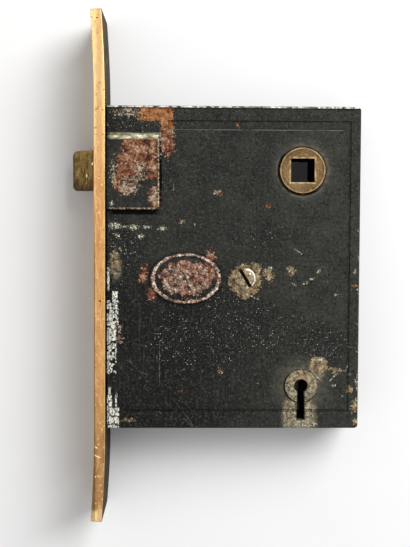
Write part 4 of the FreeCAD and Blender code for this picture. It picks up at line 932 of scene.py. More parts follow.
@dataclass(frozen=True)
class PlateBrass:
    """Rolled yellow brass, sawn and filed to the plate's size and darkened by a century of air.

    The eye sees a warm tan edge with grain along its length, brighter at the end that hands
    reach and there also a painted reflection of the light, a duller front and a rear face nearly black
    with wood dust and old oil.
    """

    name: str = "rolled brass of the face plate"
    cuts: tuple[Mark, ...] = (
        Mark(-1.0, -49.0, 0.75, 0.16, -32.0, boxy=True),
        Mark(-0.9, -51.4, 1.5, 0.2, -24.0, boxy=True),
        Mark(-1.2, -57.2, 0.3, 0.25),
    )
    dents: tuple[Mark, ...] = (Mark(-0.6, 67.3, 0.5, 0.22), Mark(0.2, -8.9, 0.4, 0.4))
    screw_rows: tuple[float, float] = (-58.75, 58.75)
    screw_reach: float = 4.2

    def make(self) -> Material:
        """Build the material.

        Returns:
            The material.
        """
        s = Surface(self.name, "#cf9f66", 0.42, 1.0)
        s.lay(0.85, s.mottle(0.8, Tones.PLATE_EDGE, stretch=(1, 9, 1)))
        s.lay(s.clouds(4.0, 0.5, 0.75, stretch=(1, 2, 1)), "#c98f60", 0.5)
        # brighter towards the upper end and duller towards the lower, partly handling and tarnish and
        # partly a painted reflection of the light, with a painted highlight on the lower tip
        s.lay((s.between("Y", 34.0, 90.0, 40.0), 0.8), "#fbdf9f", 0.36)
        s.lay((s.between("Y", -90.0, -38.0, 34.0), 0.85), "#7a6541", 0.5)
        s.lay((s.facing("Z"), s.between("Y", -71.0, -66.6, 1.2), 0.95), "#ffe6a8", 0.3)
        # rolling and filing grain, 0.3 to 0.5 mm apart, drawn as coarse as it shows
        s.lay((s.clouds(0.4, 0.5, 0.7, 2.0, stretch=(1, 6, 1), shift=7.0), 0.4), "#9a6c3d", rise=-0.01)
        s.lay(s.clouds(0.3, 0.4, 0.7, 2.0, stretch=(1, 14, 1)), rise=0.01)
        s.lay((s.facing("Z"), s.between("X", -0.75, 0.75, 0.9), 0.55), "#bf8458")
        s.lay((s.clouds(0.5, 0.48, 0.7, 2.0, stretch=(1, 7, 1), shift=31.0), 0.35), "#f0cd90")
        s.colour = s.grained(s.colour, 0.42, "#b58150", "#e4bd84", 0.07)
        s.lay(s.specks(2.6, 0.08, 0.14, shift=9.0), "#6f4f2b", 0.6, rise=-0.03)
        for marks, width, colour, roughness, rise in (
            (self.cuts, 0.08, "#f6e2ac", 0.3, -0.06),
            (self.dents, 0.12, "#6f4a22", 0.6, -0.08),
        ):
            nick = s.add(*FADE, {0: s.depth(marks, 0.1), 1: 0.0, 2: width})
            s.lay((nick, s.facing("Z")), colour, roughness, rise=rise)
        s.lay((s.edges(0.35), s.clouds(2.0, 0.25, 0.5, stretch=(1, 4, 1))), "#f4d28e", 0.32)
        outline = (s.facing("Z"), s.between("X", -3.0, -1.22, 0.2), s.between("Y", -72.0, 12.0, 30.0))
        s.lay((*outline, 0.8), "#6b4420", 0.5)
        self.lay_faces(s)
        return s.finish(edge=0.25, specular=0.15)

    def lay_faces(self, s: Surface) -> None:
        """Lay the rear face's grime, the front face's tarnish and the dark screw holes.

        Args:
            s: the surface that they are laid on.
        """
        grime = s.mottle(1.8, Tones.PLATE_REAR, stretch=(1, 3, 1), detail=5.0)
        s.lay((s.facing("X"), 0.97), grime, 0.8, 0.0)
        s.lay((s.facing("X"), s.between("Y", 46.0, 72.0, 16.0), 0.6), "#43382a")
        front = s.facing("X", -1.0)
        s.lay((front, 0.75), s.mottle(3.0, Tones.PLATE_FRONT, detail=5.0, stretch=(1, 3, 1)), 0.48)
        s.lay((front, s.clouds(7.0, 0.5, 0.72, 6.0, shift=5.0), 0.75), "#5e4a2f", 0.6)
        for long, shift, share, colour, roughness in (
            (26, 21.0, 0.7, "#e3c384", 0.3),
            (20, 27.0, 0.6, "#5b4527", 0.5),
        ):
            grain = s.clouds(0.5, 0.56, 0.72, 2.0, stretch=(1, long, 1), shift=shift)
            s.lay((front, grain, share), colour, roughness)
        s.lay((front, s.specks(1.6, 0.2, 0.25, shift=12.0)), "#3a2d1c", 0.7, rise=-0.03)
        reach = self.screw_reach
        for row in self.screw_rows:
            bore = (s.between("Y", row - reach, row + reach, 0.1), s.between("Z", -reach, reach, 0.1))
            s.lay((*bore, s.between("X", -1.3, 1.42, 0.1), 0.85), "#32281a", 0.7)
        # darker in corners and recesses: grime and painted shade
        s.lay(s.hollows(1.2), "#1d160e", 0.8)


@dataclass(frozen=True)
class RustyCast:
    """Cast iron under flaked varnish: red rust with painted shade in the hollows, pale rubbed metal and
    painted highlights on the heights.
    """

    name: str = "rusted cast iron of the medallion"

    def make(self) -> Material:
        """Build the material.

        Returns:
            The material.
        """
        s = Surface(self.name, "#6b3629", 0.75)
        s.lay(1.0, s.mottle(1.8, Tones.OVAL_RUST, detail=8.0, crisp=0.84))
        s.lay((s.clouds(2.6, 0.5, 0.62, shift=4.0), 0.8), s.mottle(0.7, Tones.OVAL_BARE, shift=3.0))
        s.lay((s.clouds(1.7, 0.57, 0.64, shift=12.0), 0.75), "#2a1c15", 0.8)
        s.colour = s.grained(s.colour, 0.42, "#1d120e", "#b9a48c", 0.16)
        # painted shade in the low places of the field
        low = s.between("Z", 7.0, 8.13, 0.16)
        s.lay((low, s.clouds(1.8, 0.42, 0.56, shift=22.0), 0.9), "#120b08", 0.8)
        s.lay(s.clouds(0.7, 0.35, 0.65), rise=0.3)
        # pale rubbed metal on the heights, with painted highlights
        high = (s.between("Z", 8.38, 9.0, 0.14), s.clouds(1.2, 0.4, 0.54, shift=8.0))
        s.lay(high, s.mottle(0.8, Tones.OVAL_RIM_WEAR_AND_GLINT), 0.5, 0.3)
        # darker in hollows: grime and painted shade
        s.lay((s.hollows(0.4), 0.35), "#1c110c", 0.9)
        return s.finish(edge=0.1, specular=0.3)


@dataclass(frozen=True)
class WornScrew(AgedMetal):
    """Wrought iron screw whose head is scraped pale in the middle and rusty at the rim, with a painted
    highlight on the rim's right side.
    """

    def make(self) -> Material:
        """Build the material.

        Returns:
            The material.
        """
        s = self.layers()
        scraped = s.mottle(0.9, Tones.SCRAPED, detail=5.0)
        s.lay(0.8, s.grained(scraped, 0.42, "#40301f", "#f6eddf", 0.16, 7.0), 0.55)
        rusty = (s.between("X", 36.0, 39.4, 0.8), 0.55)
        s.lay(rusty, s.mottle(0.8, Tones.WORN_METAL, shift=4.0), 0.65)
        # a painted highlight on the right side of the head's rim
        rim = (s.ring(*SCREW, 2.62, 0.4), s.between("X", 40.2, 43.5, 0.8), s.clouds(1.5, 0.28, 0.5))
        s.lay(rim, "#e9dfca", 0.4)
        # darker in hollows: grime and painted shade
        s.lay((s.hollows(0.5), 0.9), "#1a120a", 0.9)
        s.lay(s.between("Z", -5.0, 7.86, 0.1), "#1f1509", 0.9, 0.0)
        return s.finish(edge=0.15, specular=0.1)


@dataclass(frozen=True)
class Lamp:
    """One soft studio panel."""

    name: str
    place: tuple[float, float, float]
    aim: tuple[float, float, float]
    width: float
    power: float

    def hang(self) -> None:
        """Put the panel in the scene, facing its aim."""
        data = bpy.data.lights.new(self.name, "AREA")
        data.shape = "SQUARE"
        data.size = self.width
        data.energy = self.power
        lamp = bpy.data.objects.new(self.name, data)
        bpy.context.scene.collection.objects.link(lamp)
        lamp.location = self.place
        lamp.rotation_euler = (Vector(self.aim) - Vector(self.place)).to_track_quat("-Z", "Y").to_euler()


@dataclass(frozen=True)
class Studio:
    """The pale floor, the soft light and the camera at the photograph's view."""

    camera_place: tuple[float, float, float] = (22.2, 12.8, 283.9)
    camera_turn: tuple[float, float, float] = (2.95, 1.36, -0.19)
    focal_pixels: float = 1003.8
    sensor: float = 36.0
    plate_foot: tuple[float, float] = (1.5, -11.1)
    case_foot: tuple[float, float] = (71.5, -7.95)
    floor_reach: float = 3.0
    sky_for_shapes: float = 0.47
    key: Lamp = Lamp("key panel", (0.42, 0.40, 0.55), (0.02, 0.0, 0.0), 0.5, 6.1)

    def build(self) -> None:
        """Make the camera, floor, lights and sky."""
        self.set_camera()
        self.lay_floor()
        self.key.hang()
        self.make_sky()
        bpy.context.scene.view_settings.view_transform = "Standard"

    def set_camera(self) -> None:
        """Place the camera. Its turn is the one from the lock's frame to the camera's."""
        data = bpy.data.cameras.new("camera")
        data.sensor_width = self.sensor
        data.lens = self.focal_pixels * self.sensor / max(FRAME_PIXELS)
        data.clip_start = 0.01
        data.clip_end = 10.0
        camera = bpy.data.objects.new("camera", data)
        bpy.context.scene.collection.objects.link(camera)
        turn = Euler([math.radians(a) for a in self.camera_turn], "XYZ").to_matrix().transposed()
        camera.matrix_world = Matrix.Translation(Vector(self.camera_place) * MM) @ turn.to_4x4()
        bpy.context.scene.camera = camera

    def lay_floor(self) -> None:
        """Lay the floor under the plate's lower edge and the case's rear edge, which the lock lies on."""
        (x0, z0), (x1, z1) = self.plate_foot, self.case_foot
        slope = (z1 - z0) / (x1 - x0)
        level = z0 * MM - x0 * MM * slope
        reach = self.floor_reach
        signs = ((-1, -1), (1, -1), (1, 1), (-1, 1))
        corners = [(a * reach, b * reach, level + a * reach * slope) for a, b in signs]
        mesh = bpy.data.meshes.new("floor")
        mesh.from_pydata(corners, [], [(0, 1, 2, 3)])
        floor = bpy.data.objects.new("floor", mesh)
        bpy.context.scene.collection.objects.link(floor)
        s = Surface("matt white paper sweep", "#fbfbfb", 0.9)
        s.lay(s.clouds(60.0, 0.3, 0.7), "#f8f8f8")
        paper = s.add("ShaderNodeBsdfDiffuse", None, {"Color": s.colour})
        s.add("ShaderNodeOutputMaterial", None, {"Surface": paper})
        mesh.materials.append(s.material)

    def make_sky(self) -> None:
        """Set the sky: white where it is seen, plain and soft for lighting shapes."""
        world = bpy.data.worlds.new("studio sky")
        bpy.context.scene.world = world
        world.use_nodes = True
        world.node_tree.nodes.clear()
        add = partial(add_node, world.node_tree)
        seen = add("ShaderNodeLightPath")
        eye = add(*GREATER, {0: seen.outputs["Is Camera Ray"], 1: seen.outputs["Is Glossy Ray"]})
        eye = add(*GREATER, {0: eye, 1: seen.outputs["Is Transmission Ray"]})
        plain = (1.0, 1.0, 1.0, 1.0)
        soft = add("ShaderNodeBackground", None, {"Color": plain, "Strength": self.sky_for_shapes})
        white = add("ShaderNodeBackground", None, {"Color": plain, "Strength": 1.0})
        mix = add("ShaderNodeMixShader", None, {0: eye, 1: soft, 2: white})
        add("ShaderNodeOutputWorld", None, {"Surface": mix})


def new_piece(name: str, mesh: Mesh, smooth: float = 40.0) -> Object:
    """Put a mesh into the scene as a piece at the origin.

    Args:
        name: the piece's name.
        mesh: its mesh.
        smooth: edges sharper than this angle in degrees stay sharp.

    Returns:
        The new object.
    """
    mesh.name = name
    for face in mesh.polygons:
        face.use_smooth = True
    mesh.set_sharp_from_angle(angle=math.radians(smooth))
    piece = bpy.data.objects.new(name, mesh)
    bpy.context.scene.collection.objects.link(piece)
    LOG.info("built %s with %d faces", name, len(mesh.polygons))
    return piece


def settled(piece: Object) -> Mesh:
    """Turn a scratch object with its modifiers into a plain mesh, and take the object away.

    Args:
        piece: the scratch object.

    Returns:
        The mesh that its modifiers give.
    """
    seen = piece.evaluated_get(bpy.context.evaluated_depsgraph_get())
    mesh = bpy.data.meshes.new_from_object(seen)
    piece.modifiers.clear()
    bpy.data.objects.remove(piece)
    return mesh


def grown(tree: NodeTree, sizes: dict[str, float], others: dict[str, object]) -> Mesh:
    """Run a geometry tree on an empty object and give its plain mesh.

    Args:
        tree: the geometry tree.
        sizes: its lengths in mm, by the input's name.
        others: its other inputs.

    Returns:
        The mesh.
    """
    holder = bpy.data.objects.new(tree.name, bpy.data.meshes.new(tree.name))
    bpy.context.scene.collection.objects.link(holder)
    modifier = holder.modifiers.new(tree.name, "NODES")
    modifier.node_group = tree
    values = {**{name: size * MM for name, size in sizes.items()}, **others}
    for item in tree.interface.items_tree:
        if item.in_out == "INPUT" and item.name in values:
            modifier[item.identifier] = values[item.name]
    return settled(holder)


def geometry_tree(name: str, sizes: tuple[str, ...], others: dict[str, str]) -> tuple[NodeTree, partial]:
    """Start a geometry tree with named inputs.

    Args:
        name: the tree's name.
        sizes: names of its number inputs.
        others: its other inputs and their types.

    Returns:
        The tree, and add_node bound to it.
    """
    tree = bpy.data.node_groups.new(name, "GeometryNodeTree")
    tree.interface.new_socket("Mesh", in_out="OUTPUT", socket_type="NodeSocketGeometry")
    for label, kind in {**dict.fromkeys(sizes, "Float"), **others}.items():
        tree.interface.new_socket(label, in_out="INPUT", socket_type="NodeSocket" + kind)
    return tree, partial(add_node, tree)


def end_tree(add: partial, shape: Node, finish: NodeSocket) -> None:
    """End a geometry tree: make its instances real and set their material.

    Args:
        add: add_node bound to the tree.
        shape: the node whose first output is the shape.
        finish: the tree's material input.
    """
    real = add("GeometryNodeRealizeInstances", None, {"Geometry": shape})
    dressed = add("GeometryNodeSetMaterial", None, {"Geometry": real, "Material": finish})
    add("NodeGroupOutput", None, {0: dressed})


def merged_copy(node: str) -> bmesh.types.BMesh:
    """Copy a CAD node's mesh and merge its loose triangles.

    Args:
        node: the CAD node's name.

    Returns:
        The copy.
    """
    bm = bmesh.new()
    bm.from_mesh(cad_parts[node].data)
    bmesh.ops.remove_doubles(bm, verts=bm.verts, dist=SEAM * MM)
    return bm


def plain_mesh(bm: bmesh.types.BMesh) -> Mesh:
    """Write a bmesh into a new mesh and free it.

    Args:
        bm: the bmesh.

    Returns:
        The mesh.
    """
    mesh = bpy.data.meshes.new("shape")
    bm.to_mesh(mesh)
    bm.free()
    return mesh


def dress(node: str, material: Material) -> None:
    """Give a CAD node its material in every slot.

    Args:
        node: the CAD node's name.
        material: the finish.
    """
    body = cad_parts[node]
    if not body.material_slots:
        body.data.materials.append(material)
    for place in body.material_slots:
        place.material = material
    LOG.info("dressed %s in %s", node, material.name)


def softened(node: str, width: float, flat: float = 0.5) -> bmesh.types.BMesh:
    """Copy a CAD node's mesh with its sharp edges rounded, as use and casting leave them.

    Args:
        node: the CAD node's name.
        width: width of the rounding, in mm.
        flat: faces that meet at less than this angle in degrees are joined first.

    Returns:
        The rounded copy.
    """
    bm = merged_copy(node)
    bmesh.ops.dissolve_limit(bm, angle_limit=math.radians(flat), verts=bm.verts, edges=bm.edges)
    rough = plain_mesh(bm)
    holder = bpy.data.objects.new(rough.name, rough)
    bpy.context.scene.collection.objects.link(holder)
    rounding = holder.modifiers.new("rounding", "BEVEL")
    rounding.width = width * MM
    rounding.segments = 2
    rounding.limit_method = "ANGLE"
    rounding.angle_limit = math.radians(35)
    copy = bmesh.new()
    copy.from_mesh(settled(holder))
    return copy


def divide(bm: bmesh.types.BMesh, axis: int, parts: int) -> None:
    """Cut a mesh by evenly spaced planes, so that it can be bent or dented.

    Args:
        bm: the mesh.
        axis: 0, 1 or 2 for planes across X, Y or Z.
        parts: how many parts it is cut into.
    """
    low = min(v.co[axis] for v in bm.verts)
    high = max(v.co[axis] for v in bm.verts)
    across = Vector([float(i == axis) for i in range(3)])
    for i in range(1, parts):
        spot = across * (low + (high - low) * i / parts)
        everything = bm.verts[:] + bm.edges[:] + bm.faces[:]
        bmesh.ops.bisect_plane(bm, geom=everything, plane_co=spot, plane_no=across, dist=TOUCH)


# Worn places of the cap: X, Y, half width and half height in mm, turn in degrees, and whether it is
# a box. They were placed one by one.
BOX = True
CAP_PLACES = {
    # on the latch pad and at its corner, beside the medallion, and single chips
    Kind.RED_RUST: (
        (10.7, 32.2, 5.6, 3.9, 0.0, BOX), (8.7, 28.0, 4.7, 3.6, 0.0, BOX),
        (14.0, 27.4, 2.3, 3.8, 0.0, BOX), (6.5, 23.4, 3.8, 3.6, 15.0), (14.8, 19.4, 2.1, 4.0, -4.0),
        (18.3, 34.6, 2.4, 3.9, 3.0, BOX), (18.4, 32.4, 1.9, 2.6), (11.7, -1.6, 1.6, 3.1, 0.0, BOX),
        (14.0, -7.0, 1.8, 2.7, 14.0), (30.0, 1.2, 2.0, 5.6, -6.0), (30.4, -0.4, 2.0, 3.4, 0.0, BOX),
        (22.2, 12.8, 1.5, 1.0), (32.4, 20.8, 1.8, 1.1, 20.0), (22.3, -34.0, 1.1, 1.0),
        (32.9, -28.5, 1.1, 1.1),
    ),
    # in the rust of the pad, along the top, and along the rear edge
    Kind.PITTED: (
        (11.3, 26.6, 2.6, 3.2, 20.0), (8.0, 22.6, 3.4, 3.4), (3.6, 26.5, 1.3, 6.0),
        (14.9, 19.6, 1.7, 3.0), (7.0, 42.7, 6.0, 1.7), (20.0, 36.6, 0.9, 7.0), (16.5, 34.6, 0.9, 4.6),
        (7.6, 42.4, 1.8, 1.4), (5.1, -16.6, 1.5, 1.5), (5.2, -19.6, 1.6, 1.5), (71.3, -6.0, 0.9, 3.4),
        (71.3, -14.5, 0.8, 2.2), (71.3, -22.0, 1.1, 2.4), (71.2, -31.0, 1.1, 3.4),
    ),
    # down the pad's side, round the cap screw, above the keyhole and at the corners
    Kind.WORN_METAL: (
        (15.6, 30.5, 0.9, 6.0, 0.0, BOX), (52.5, -0.6, 1.9, 1.7, -30.0), (46.2, -1.6, 1.9, 2.6, 30.0),
        (7.6, -42.1, 3.2, 0.9, 10.0), (39.9, -3.3, 5.0, 5.1), (42.4, -0.2, 2.5, 2.2, 45.0),
        (39.8, -7.4, 2.0, 1.6), (60.4, -26.8, 3.0, 3.0, -20.0), (64.9, -28.1, 3.0, 1.3, -12.0),
        (70.5, -38.4, 1.4, 2.8), (69.2, -33.4, 1.3, 1.8), (71.3, -42.6, 1.4, 1.6), (4.0, 2.2, 1.8, 3.6),
    ),
    # crusty specks under the pad, round the screw, below the keyhole and along the edges
    Kind.PALE_CRUST: (
        (3.2, 17.6, 0.8, 1.1), (4.4, 38.4, 0.45, 0.4), (8.2, 38.7, 0.5, 0.4), (9.5, 39.4, 0.4, 0.45),
        (11.4, 38.2, 0.45, 0.4), (13.3, 39.0, 0.45, 0.4), (32.0, 20.9, 1.5, 0.8, 20.0),
        (22.8, 12.9, 0.8, 0.7), (68.8, -21.7, 0.9, 0.5), (65.0, -7.2, 0.9, 0.5, 20.0),
        (58.4, -3.0, 1.4, 0.6, 18.0), (56.4, -4.0, 1.2, 0.6, 10.0), (53.5, -4.4, 1.5, 0.5, -30.0),
        (52.2, -0.3, 1.4, 0.7, -30.0), (60.2, -0.8, 1.0, 0.7, 40.0), (62.5, -3.6, 0.6, 0.5),
        (46.6, -0.2, 1.0, 1.0, 30.0), (70.2, -0.8, 0.6, 1.4), (22.3, -34.0, 0.5, 0.5),
        (43.6, -32.0, 0.5, 0.4), (33.0, -28.7, 0.6, 0.5), (16.6, -40.2, 0.6, 0.5, -35.0),
        (26.0, 11.9, 0.5, 0.5), (4.0, 11.6, 2.3, 1.2), (6.6, 11.4, 1.2, 0.7), (9.2, 11.3, 1.8, 1.0),
        (12.6, 11.3, 1.7, 0.7), (17.0, 10.9, 1.8, 0.9), (11.1, 8.7, 1.3, 1.0),
        (4.6, 8.9, 1.2, 0.8, -50.0), (5.4, 5.2, 1.1, 0.6, -50.0), (8.4, 4.2, 0.7, 0.4),
        (61.0, -25.4, 2.6, 0.8, -12.0), (66.4, -28.2, 1.4, 0.6, -30.0), (64.5, -32.5, 1.4, 0.6, -15.0),
        (69.2, -29.4, 0.6, 0.5), (71.2, 3.0, 0.5, 1.6), (71.2, 10.5, 0.5, 1.0), (71.0, -36.6, 0.6, 1.2),
        (67.0, -35.4, 0.5, 0.45), (51.5, -43.6, 1.0, 0.8), (55.6, -43.6, 1.8, 0.9),
        (59.5, -43.2, 0.9, 0.8), (57.6, -42.0, 0.5, 0.6),
    ),
    # the band round the pad's upper corner, and single chips
    Kind.ORANGE_RUST: (
        (14.7, 42.2, 5.4, 2.2, 0.0, BOX), (18.1, 40.0, 2.3, 4.2, 3.0, BOX),
        (37.5, 39.5, 0.7, 1.2, 20.0), (46.0, 17.2, 1.5, 0.8), (70.4, -4.7, 1.3, 0.8),
    ),
    # single tool scratches
    Kind.SCRATCH: (
        (54.4, 4.7, 1.7, 0.22, -35.0, BOX), (41.5, -7.6, 3.2, 0.22, -25.0, BOX),
        (30.5, 3.9, 2.6, 0.18, -35.0, BOX), (16.3, -26.0, 0.11, 9.0, 0.0, BOX),
        (60.6, -30.5, 1.6, 0.24, -42.0, BOX), (64.4, -30.3, 1.9, 0.24, 45.0, BOX),
        (68.2, -27.6, 1.4, 0.2, 64.0, BOX), (55.3, -42.5, 1.5, 0.3, 0.0, BOX),
    ),
    # round and below the keyhole, and beside the plate's middle
    Kind.POLISHED: (
        (55.5, -32.4, 5.4, 5.4), (55.1, -40.6, 5.5, 7.4), (55.1, -43.6, 6.0, 3.0), (4.2, 0.2, 2.2, 5.0),
        (59.8, -28.6, 3.4, 3.0, 40.0),
    ),
    # where dust lies thicker
    Kind.DUST: (
        (5.0, 41.0, 12.0, 9.0), (6.0, 41.0, 10.0, 8.0), (45.0, -16.5, 11.0, 9.0, -12.0),
        (18.5, 26.0, 4.0, 12.0), (36.0, -15.0, 22.0, 11.0, -12.0), (58.0, -20.0, 16.0, 9.0, -25.0),
        (6.0, 5.0, 7.0, 13.0), (27.0, -19.0, 15.0, 13.0), (31.0, -21.0, 10.0, 11.0, 20.0),
        (46.0, 8.5, 9.0, 5.0, 15.0),
    ),
    # painted shadow under and beside the pad
    Kind.GRIME: (
        (9.2, 15.35, 7.4, 0.75, 0.0, BOX), (16.5, 25.5, 0.42, 10.0, 0.0, BOX),
    ),
    # old door paint along the plate
    Kind.WHOLE_PAINT: (
        (2.1, -2.4, 0.42, 4.3, 0.0, BOX), (4.0, -7.9, 0.8, 1.7, 0.0, BOX),
        (3.5, -17.4, 0.9, 2.8, 0.0, BOX), (2.1, -18.8, 0.6, 2.6, 0.0, BOX),
        (2.1, -24.4, 0.6, 1.4, 0.0, BOX), (2.5, -34.7, 0.4, 2.0, 0.0, BOX),
        (2.4, -39.8, 0.8, 4.9, 0.0, BOX), (4.0, -41.6, 1.2, 3.0, 0.0, BOX),
        (4.3, -36.5, 0.3, 2.4, 0.0, BOX),
    ),
    # the same paint where it has mostly flaked off
    Kind.BROKEN_PAINT: (
        (3.3, -12.4, 1.7, 3.6, 0.0, BOX), (3.0, -24.0, 1.5, 5.4, 0.0, BOX),
    ),
}
CAP_MARKS = {kind: tuple(Mark(*place) for place in places) for kind, places in CAP_PLACES.items()}


@dataclass(frozen=True)
class Medallion:
    """The plain oval cast on the cap: a raised rim round a rough, rusted field."""

    x: float = 23.5
    y: float = -2.8
    half_x: float = 10.06
    half_y: float = 7.16
    base: float = 7.9
    field_level: float = 8.2
    roughness_height: float = 0.26
    stray: float = 0.012
    steps_round: int = 160
    field_rings: int = 26
    rim_rings: tuple[float, ...] = (
        1.0, 0.988, 0.975, 0.955, 0.935, 0.92, 0.905, 0.89, 0.875, 0.86, 0.845, 0.825,
    )
    profile: tuple[tuple[float, float], ...] = (
        (0.0, 0.16), (0.45, 0.1), (0.58, 0.18), (0.68, 0.0), (0.78, -0.14), (0.83, -0.14),
        (0.88, 0.3), (0.91, 0.4), (0.95, 0.32), (1.0, -0.3),
    )

    def level(self, share: float) -> float:
        """Give the height of the smooth form.

        Args:
            share: how far out it is, from 0 in the middle to 1 at the rim's foot.

        Returns:
            The height, in mm.
        """
        for (s0, h0), (s1, h1) in zip(self.profile, self.profile[1:]):
            if share <= s1:
                t = (share - s0) / (s1 - s0)
                return self.field_level + h0 + (h1 - h0) * t * t * (3 - 2 * t)
        return self.base

    def point(self, share: float, step: int) -> Vector:
        """Give one point of the rough form.

        Args:
            share: how far out it is.
            step: its step round the ring.

        Returns:
            The point, in mm.
        """
        angle = 2 * math.pi * step / self.steps_round
        spot = Vector((self.half_x * share * math.cos(angle), self.half_y * share * math.sin(angle), 0.0))
        lift = self.level(share)
        if share < 0.98:
            rough = noise.fractal(spot * 0.8, 1.0, 2.0, 4) * self.roughness_height
            lift += rough + noise.noise(spot * 2.6) * self.roughness_height * 0.6
        if share < 1.0:
            spot *= 1 + self.stray * noise.noise(spot * 0.9 + Vector((5.0, 0.0, 0.0)))
        return Vector((self.x + spot.x, self.y + spot.y, lift))

    def build(self) -> None:
        """Build the mesh as rings of points from the rim's foot to the middle."""
        bm = bmesh.new()
        steps, count = range(self.steps_round), self.field_rings
        shares = (*self.rim_rings, *(0.8 - 0.8 * i / count for i in range(count)))
        rings = [[bm.verts.new(self.point(share, i) * MM) for i in steps] for share in shares]
        for outer, inner in zip(rings, rings[1:]):
            for i in steps:
                j = (i + 1) % self.steps_round
                bm.faces.new((outer[i], outer[j], inner[j], inner[i]))
        middle = bm.verts.new(Vector((self.x, self.y, self.level(0.0))) * MM)
        for i in steps:
            bm.faces.new((rings[-1][i], rings[-1][(i + 1) % self.steps_round], middle))
        bm.faces.new(rings[0][::-1])
        piece = new_piece("oval_medallion", plain_mesh(bm), 80.0)
        piece.data.materials.append(RustyCast().make())
        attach(piece, "lock_body")


@dataclass(frozen=True)
class Screws:
    """Slotted screws with countersunk heads: two in the face plate, one oval-headed in the cap."""

    head: float = 2.9
    shank: float = 1.7
    cap_length: float = 10.0
    cap_rise: float = 0.3
    cap_crown: float = 0.6
    cap_turn: float = -59.0
    plate_head: float = 3.2
    plate_length: float = 9.0
    plate_rise: float = 0.02
    plate_crown: float = 0.96
    plate_turn: float = 28.0
    plate_spacing: float = 77.0
    plate_face: float = -1.42
    slot_width: float = 0.95
    slot_depth: float = 0.7
    pitch: float = 0.8
    thread: float = 0.14

    def tree(self) -> NodeTree:
        """Build the tree of one screw, head up at the origin, repeated at the ends of a line.

        Returns:
            The tree.
        """
        names = (
            "Head Radius", "Shank Radius", "Length", "Rise", "Crown Radius", "Slot Width", "Slot Depth",
            "Thread Pitch", "Thread Depth", "Spacing", "Slot Turn",
        )
        tree, add = geometry_tree("machine_screws", names, {"Count": "Int", "Finish": "Material"})
        size = add("NodeGroupInput").outputs
        cone = add(*MINUS, {0: size["Head Radius"], 1: size["Shank Radius"]})
        seat = add(*TIMES, {0: cone, 1: -1.0})
        tip = add(*TIMES, {0: size["Length"], 1: -1.0})
        dome = add(*TIMES_PLUS, {0: size["Rise"], 1: 1.0, 2: 0.08 * MM})
        point = add(*TIMES_PLUS, {0: size["Shank Radius"], 1: -0.25, 2: tip})
        neck = add(*TIMES, {0: size["Shank Radius"], 1: 0.75})
        # the stages of the turned form, each with its lower and upper level and radius
        stages = []
        for low, high, under, over in (
            (size["Rise"], dome, size["Crown Radius"], 0.0),
            (0.0, size["Rise"], size["Head Radius"], size["Crown Radius"]),
            (seat, 0.0, size["Shank Radius"], size["Head Radius"]),
            (tip, seat, size["Shank Radius"], size["Shank Radius"]),
            (point, tip, neck, size["Shank Radius"]),
            (point, point, 0.0, neck),
        ):
            # the last stage closes the point, and is all but flat
            tall = 0.00001 * MM if low is high else add(*MINUS, {0: high, 1: low})
            wires = {"Vertices": 48, "Radius Top": over, "Radius Bottom": under, "Depth": tall}
            stage = add("GeometryNodeMeshCone", {"fill_type": "NONE"}, wires)
            up = add(*VECTOR, {2: low})
            stages.append(add("GeometryNodeTransform", None, {"Geometry": stage, "Translation": up}))
        whole = add("GeometryNodeJoinGeometry")
        for stage in reversed(stages):
            tree.links.new(stage.outputs[0], whole.inputs[0])
        closed = add("GeometryNodeMergeByDistance", None, {"Geometry": whole, "Distance": SEAM * MM})
        double = add(*TIMES, {0: size["Slot Depth"], 1: 2.0})
        wide = add(*TIMES, {0: size["Head Radius"], 1: 3.0})
        block = add(*VECTOR, {0: wide, 1: size["Slot Width"], 2: double})
        cutter = add("GeometryNodeMeshCube", None, {"Size": block})
        turned = add(*VECTOR, {2: size["Slot Turn"]})
        top = add(*VECTOR, {2: size["Rise"]})
        wires = {"Geometry": cutter, "Translation": top, "Rotation": turned}
        wires = {"Mesh 1": closed, "Mesh 2": add("GeometryNodeTransform", None, wires)}
        cut = add("GeometryNodeMeshBoolean", {"operation": "DIFFERENCE"}, wires)
        threaded = self.thread_nodes(add, size, seat)
        screw = add("GeometryNodeJoinGeometry", None, {0: cut})
        tree.links.new(threaded.outputs[0], screw.inputs[0])
        apart = add(*VECTOR, {0: size["Spacing"]})
        start = add(*VECTOR, {0: add(*TIMES, {0: size["Spacing"], 1: -0.5})})
        wires = {"Count": size["Count"], "Start Location": start, "Offset": apart}
        wires = {"Points": add("GeometryNodeMeshLine", None, wires), "Instance": screw}
        end_tree(add, add("GeometryNodeInstanceOnPoints", None, wires), size["Finish"])
        return tree

    def thread_nodes(self, add: partial, size: object, seat: Node) -> Node:
        """Add the thread: a three-sided ridge swept along a helix round the shank.

        Args:
            add: add_node bound to the tree.
            size: the tree's named inputs.
            seat: the height of the head's underside.

        Returns:
            The node whose output is the thread.
        """
        run = add(*PLUS, {0: size["Length"], 1: seat})
        turns = add(*OVER, {0: run, 1: size["Thread Pitch"]})
        radii = {"Start Radius": size["Shank Radius"], "End Radius": size["Shank Radius"]}
        wires = {"Resolution": 24, "Rotations": turns, **radii, "Height": run}
        helix = add("GeometryNodeCurveSpiral", None, wires)
        wires = {"Resolution": 3, "Radius": size["Thread Depth"]}
        ridge = add("GeometryNodeCurvePrimitiveCircle", None, wires)
        wires = {"Curve": helix, "Profile Curve": ridge, "Fill Caps": True}
        swept = add("GeometryNodeCurveToMesh", None, wires)
        down = add(*VECTOR, {2: add(*TIMES, {0: size["Length"], 1: -1.0})})
        return add("GeometryNodeTransform", None, {"Geometry": swept, "Translation": down})

